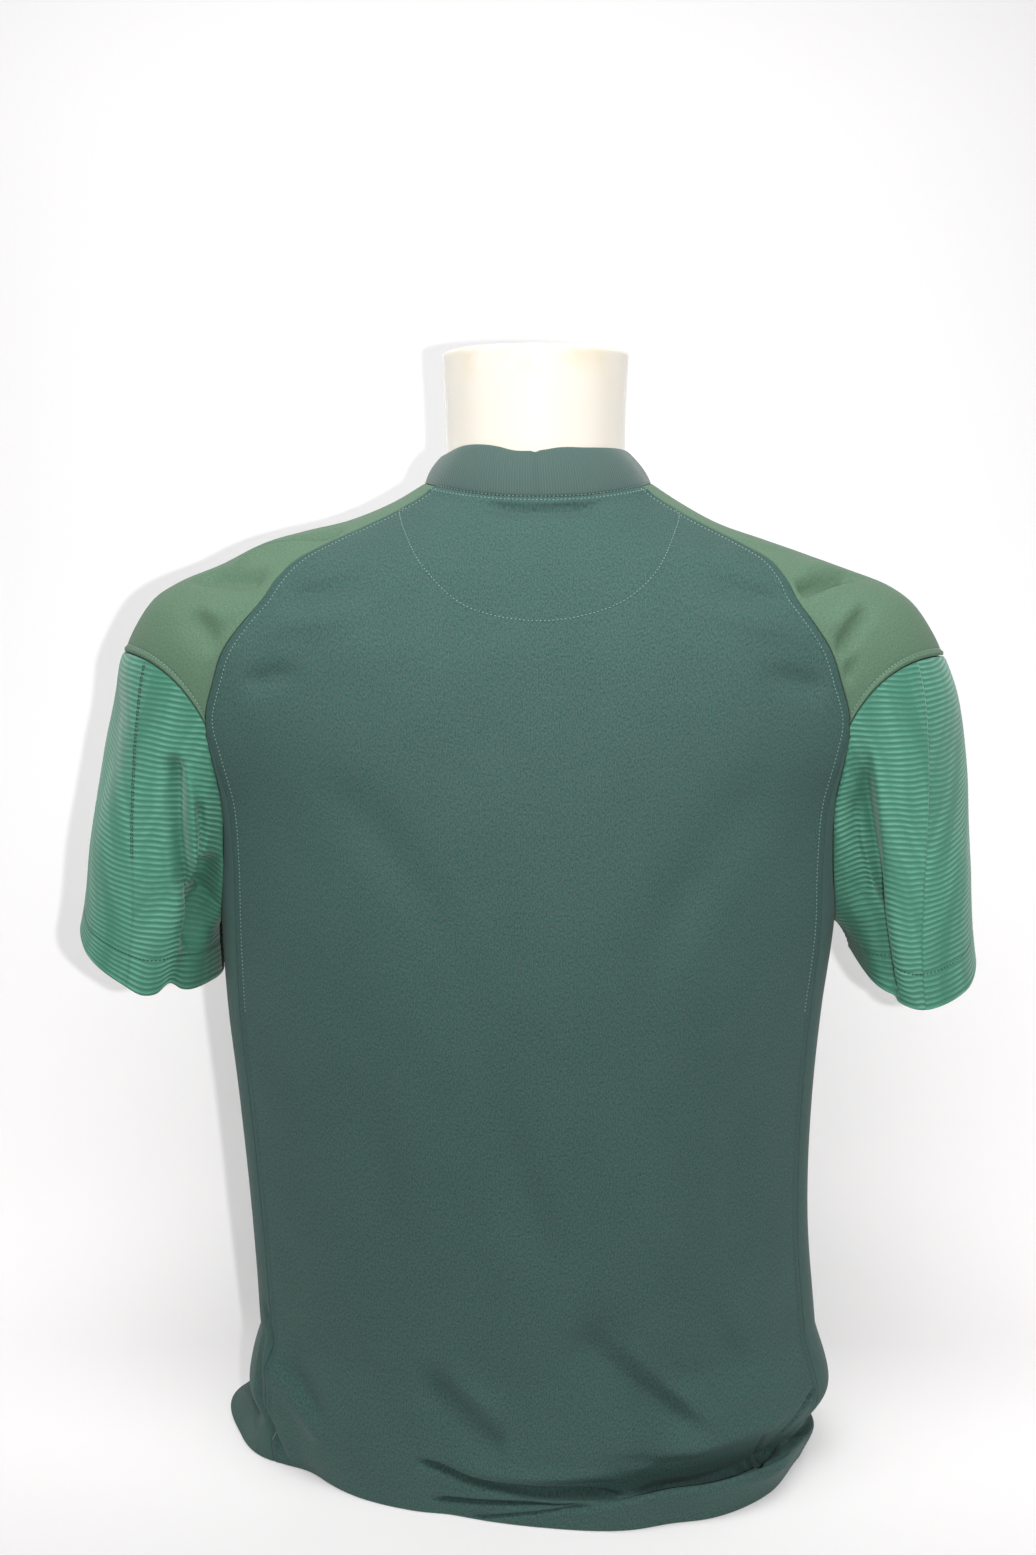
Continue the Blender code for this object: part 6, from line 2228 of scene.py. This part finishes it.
@dataclass(frozen=True)
class TorsoForm:
    """Smooth limbless form from its flat base to its flat-cut neck."""

    rings: int = 150
    columns: int = 128
    rim_radius: float = 0.0030
    rim_rings: int = 5
    lid_rings: tuple[float, ...] = (0.66, 0.33)  # shares of the rim's size
    sections: tuple[FormRow, ...] = table(
        FormRow,
        (0.1600, 0.000, 0.100, 0.000, -0.090, 0.000, 2.3),
        (0.1640, 0.060, 0.106, 0.060, -0.096, 0.060, 2.3),
        (0.1560, 0.150, 0.098, 0.150, -0.095, 0.150, 2.3),
        (0.1540, 0.230, 0.098, 0.230, -0.098, 0.230, 2.3),
        (0.1640, 0.310, 0.106, 0.310, -0.102, 0.320, 2.3),
        (0.1760, 0.380, 0.113, 0.390, -0.105, 0.400, 2.3),
        (0.1880, 0.440, 0.114, 0.460, -0.105, 0.460, 2.3),
        (0.2050, 0.490, 0.110, 0.505, -0.101, 0.495, 2.3),
        (0.2180, 0.530, 0.101, 0.545, -0.095, 0.522, 2.2),
        (0.2120, 0.566, 0.088, 0.575, -0.087, 0.545, 2.1),
        (0.1850, 0.5880, 0.076, 0.594, -0.078, 0.562, 2.0),
        (0.1450, 0.6028, 0.066, 0.607, -0.070, 0.576, 2.0),
        (0.1050, 0.6160, 0.058, 0.618, -0.065, 0.590, 2.0),
        (0.0780, 0.6280, 0.0535, 0.630, -0.0605, 0.608, 2.0),
        (0.0635, 0.6420, 0.0520, 0.643, -0.0590, 0.630, 2.0),
        (0.0587, 0.6560, 0.0512, 0.656, -0.0582, 0.650, 2.0),
        (0.0582, 0.6800, 0.0512, 0.680, -0.0582, 0.678, 2.0),
        (0.0603, 0.7240, 0.0530, 0.724, -0.0600, 0.724, 2.0),
    )

    def build(self, looks: Looks) -> None:
        """Rings of rounded ovals, a quarter-round rim, and closed ends.

        Args:
            looks: materials by name.
        """
        keyed = [(step, *row) for step, row in enumerate(self.sections)]
        rows = FormRow(*through(keyed, np.linspace(0, len(self.sections) - 1, self.rings)).T[..., None])
        turn = np.linspace(0, 2 * np.pi, self.columns, endpoint=False)[None]
        flat_x, flat_y = oval(turn, rows.power)
        behind = np.sin(turn) > 0
        end_height = np.where(behind, rows.back_height, rows.front_height)
        x = rows.side_x * flat_x
        y = np.where(behind, rows.back_y, -rows.front_y) * flat_y
        height = rows.side_height + (end_height - rows.side_height) * np.sin(turn) ** 2
        grid = np.stack([x, y, height], axis=-1)
        top = self.sections[-1].side_height
        grid = grid[grid[..., 2].max(axis=1) <= top - self.rim_radius]
        last = np.stack([x[-1], y[-1], np.full(self.columns, top)], axis=-1)
        level = unit(last * np.array([1.0, 1.0, 0.0]))
        angle = np.linspace(0, np.pi / 2, self.rim_rings)[:, None, None]
        drop = np.array([0.0, 0.0, self.rim_radius])
        rim = last - level * self.rim_radius * (1 - np.cos(angle)) - drop * (1 - np.sin(angle))
        lid = rim[-1] * np.array([[[share, share, 1.0]] for share in self.lid_rings])
        points = np.concatenate([grid, rim, lid]).reshape(-1, 3)
        count = len(points) // self.columns
        ends = np.array([[0.0, 0.0, 0.0], [0.0, 0.0, top]])
        here = np.arange(self.columns)
        beside = (here + 1) % self.columns
        start = (count - 1) * self.columns
        bottom_fan = np.stack([np.full_like(here, len(points)), beside, here], axis=-1)
        top_fan = np.stack([np.full_like(here, len(points) + 1), here + start, beside + start], axis=-1)
        faces = [grid_faces(count, self.columns, False, closed=True), bottom_fan, top_fan]
        form = add_mesh("torso_form_gloss", np.vstack([points, ends]), faces, {})
        form.data.materials.append(looks["gloss"])
        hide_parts("torso_form")
        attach(form, ROOT)


# ---- Stage, light and camera ----


@dataclass(frozen=True)
class SoftLight:
    """Rectangular light aimed at a point."""

    name: str
    place: tuple[float, float, float]
    aim: tuple[float, float, float]
    size: tuple[float, float]
    watts: float
    spread: float  # angle of its cone, in degrees
    mirrored: bool  # seen in reflections

    def add(self) -> None:
        """Add the light, its -Z axis turned to the aim."""
        lamp = bpy.data.lights.new(self.name, "AREA")
        lamp.shape = "RECTANGLE"
        lamp.size, lamp.size_y = self.size
        lamp.energy = self.watts
        lamp.spread = math.radians(self.spread)
        thing = bpy.data.objects.new(self.name, lamp)
        thing.location = self.place
        thing.visible_glossy = self.mirrored
        away = np.array(self.aim) - np.array(self.place)
        level = math.hypot(away[0], away[1])
        thing.rotation_euler = (math.atan2(level, -away[2]), 0.0, math.atan2(away[1], away[0]) - math.pi / 2)
        bpy.context.scene.collection.objects.link(thing)


@dataclass(frozen=True)
class Studio:
    """White paper sweep, soft lights and the camera."""

    floor_reach: float = 0.32
    wall_y: float = -0.24
    sweep_radius: float = 0.10
    wall_height: float = 3.0
    half_width: float = 3.0
    world: float = 0.05
    lights: tuple[SoftLight, ...] = table(
        SoftLight,
        ("sky_light", (0.06, 0.45, 1.30), (0.0, 0.05, 0.85), (1.3, 0.5), 5.5, 100.0, False),
        ("window_light", (-0.07, 1.17, 0.56), (0.0, 0.0, 1.30), (0.02, 0.02), 10.0, 180.0, True),
        ("left_light", (0.95, 0.55, 0.55), (0.0, 0.05, 0.45), (0.4, 0.9), 1.45, 120.0, False),
        ("right_light", (-0.95, 0.55, 0.55), (0.0, 0.05, 0.45), (0.4, 0.9), 1.45, 120.0, False),
    )
    camera_place: tuple[float, float, float] = (0.01148, 1.17, 0.572)
    camera_pitch: float = 6.0
    photo_height: int = 1555
    focal_pixels: float = 1780.0
    sensor: float = 36.0

    def build(self, looks: Looks) -> None:
        """Sweep, lights, world and camera.

        Args:
            looks: materials by name.
        """
        self.add_sweep(looks)
        for light in self.lights:
            light.add()
        world = bpy.data.worlds.new("studio")
        world.use_nodes = True
        world.node_tree.nodes["Background"].inputs["Strength"].default_value = self.world
        world.node_tree.nodes["Background"].inputs["Color"].default_value = (1.0, 1.0, 1.0, 1.0)
        scene = bpy.context.scene
        scene.world = world
        scene.view_settings.view_transform = "Standard"
        self.add_camera()

    def add_sweep(self, looks: Looks) -> None:
        """Floor, quarter-round sweep and wall in one sheet: a profile carried along x."""
        angle = np.linspace(0, np.pi / 2, 24)
        centre_y = self.wall_y + self.sweep_radius
        curve_y = centre_y - self.sweep_radius * np.sin(angle)
        curve_z = self.sweep_radius * (1 - np.cos(angle))
        y = np.concatenate([[self.floor_reach], curve_y, [self.wall_y]])
        z = np.concatenate([[0.0], curve_z, [self.wall_height]])
        x = np.linspace(-self.half_width, self.half_width, 13)
        grid = np.stack(np.broadcast_arrays(x[None], y[:, None], z[:, None]), axis=-1)
        sweep = add_mesh("paper_sweep", grid.reshape(-1, 3), [grid_faces(len(y), len(x), True)], {})
        sweep.data.materials.append(looks["paper"])

    def add_camera(self) -> None:
        """Camera at the photograph's place, level across and pitched down."""
        camera = bpy.data.cameras.new("camera")
        camera.sensor_width = self.sensor
        camera.lens = self.focal_pixels * self.sensor / self.photo_height
        camera.clip_start = 0.01
        thing = bpy.data.objects.new("camera", camera)
        thing.location = self.camera_place
        thing.rotation_euler = (math.radians(90 - self.camera_pitch), 0.0, math.pi)
        bpy.context.scene.collection.objects.link(thing)
        bpy.context.scene.camera = thing


def main() -> None:
    """Build every piece in order, then the stage."""
    logging.basicConfig(level=logging.INFO, format="%(message)s")
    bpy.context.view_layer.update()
    cut = Cut()
    looks = {
        "body": BODY_KNIT.material(),
        "saddle": SADDLE_KNIT.material(),
        "rib": SLEEVE_RIB.material(),
        "collar": COLLAR_KNIT.material(),
        "thread": MINT_THREAD.material(),
        "dark_thread": DARK_THREAD.material(),
        "gloss": GLOSS.material(),
        "paper": PAPER.material(),
    }
    creases = BodyCreases(cut)
    across = mirrored((0.0, 0.66, 36), (0.66, 0.955, 34), (0.955, 1.0, 13))
    raglan_rows = spread((0.0, 0.04, 12), (0.04, 1.0, 66))
    BodyPanel(cut, Face.BACK, across, raglan_rows, 76, HEM_ROWS).build(creases, looks)
    across = mirrored((0.0, 0.95, 38), (0.95, 1.0, 10))
    raglan_rows = spread((0.0, 0.04, 8), (0.04, 1.0, 44))
    BodyPanel(cut, Face.FRONT, across, raglan_rows, 50, HEM_ROWS[::2]).build(creases, looks)
    for hand in Hand:
        around_side = mirrored((0.0, 0.93, 20), (0.93, 1.0, 7))
        upper = spread((0.0, 0.06, 6), (0.06, 1.0, 30))
        SidePanel(cut, hand, around_side, upper, 40, HEM_ROWS).build(creases, looks)
        rows = spread((0.0, 0.04, 8), (0.04, 0.94, 56), (0.94, 1.0, 22))
        Saddle(cut, hand, rows, mirrored((0.0, 0.94, 26), (0.94, 1.0, 8))).build(looks)
        Sleeve(cut, hand).build(looks)
    Collar(cut).build(looks)
    TorsoForm().build(looks)
    Studio().build(looks)


if __name__ == "__main__":
    main()
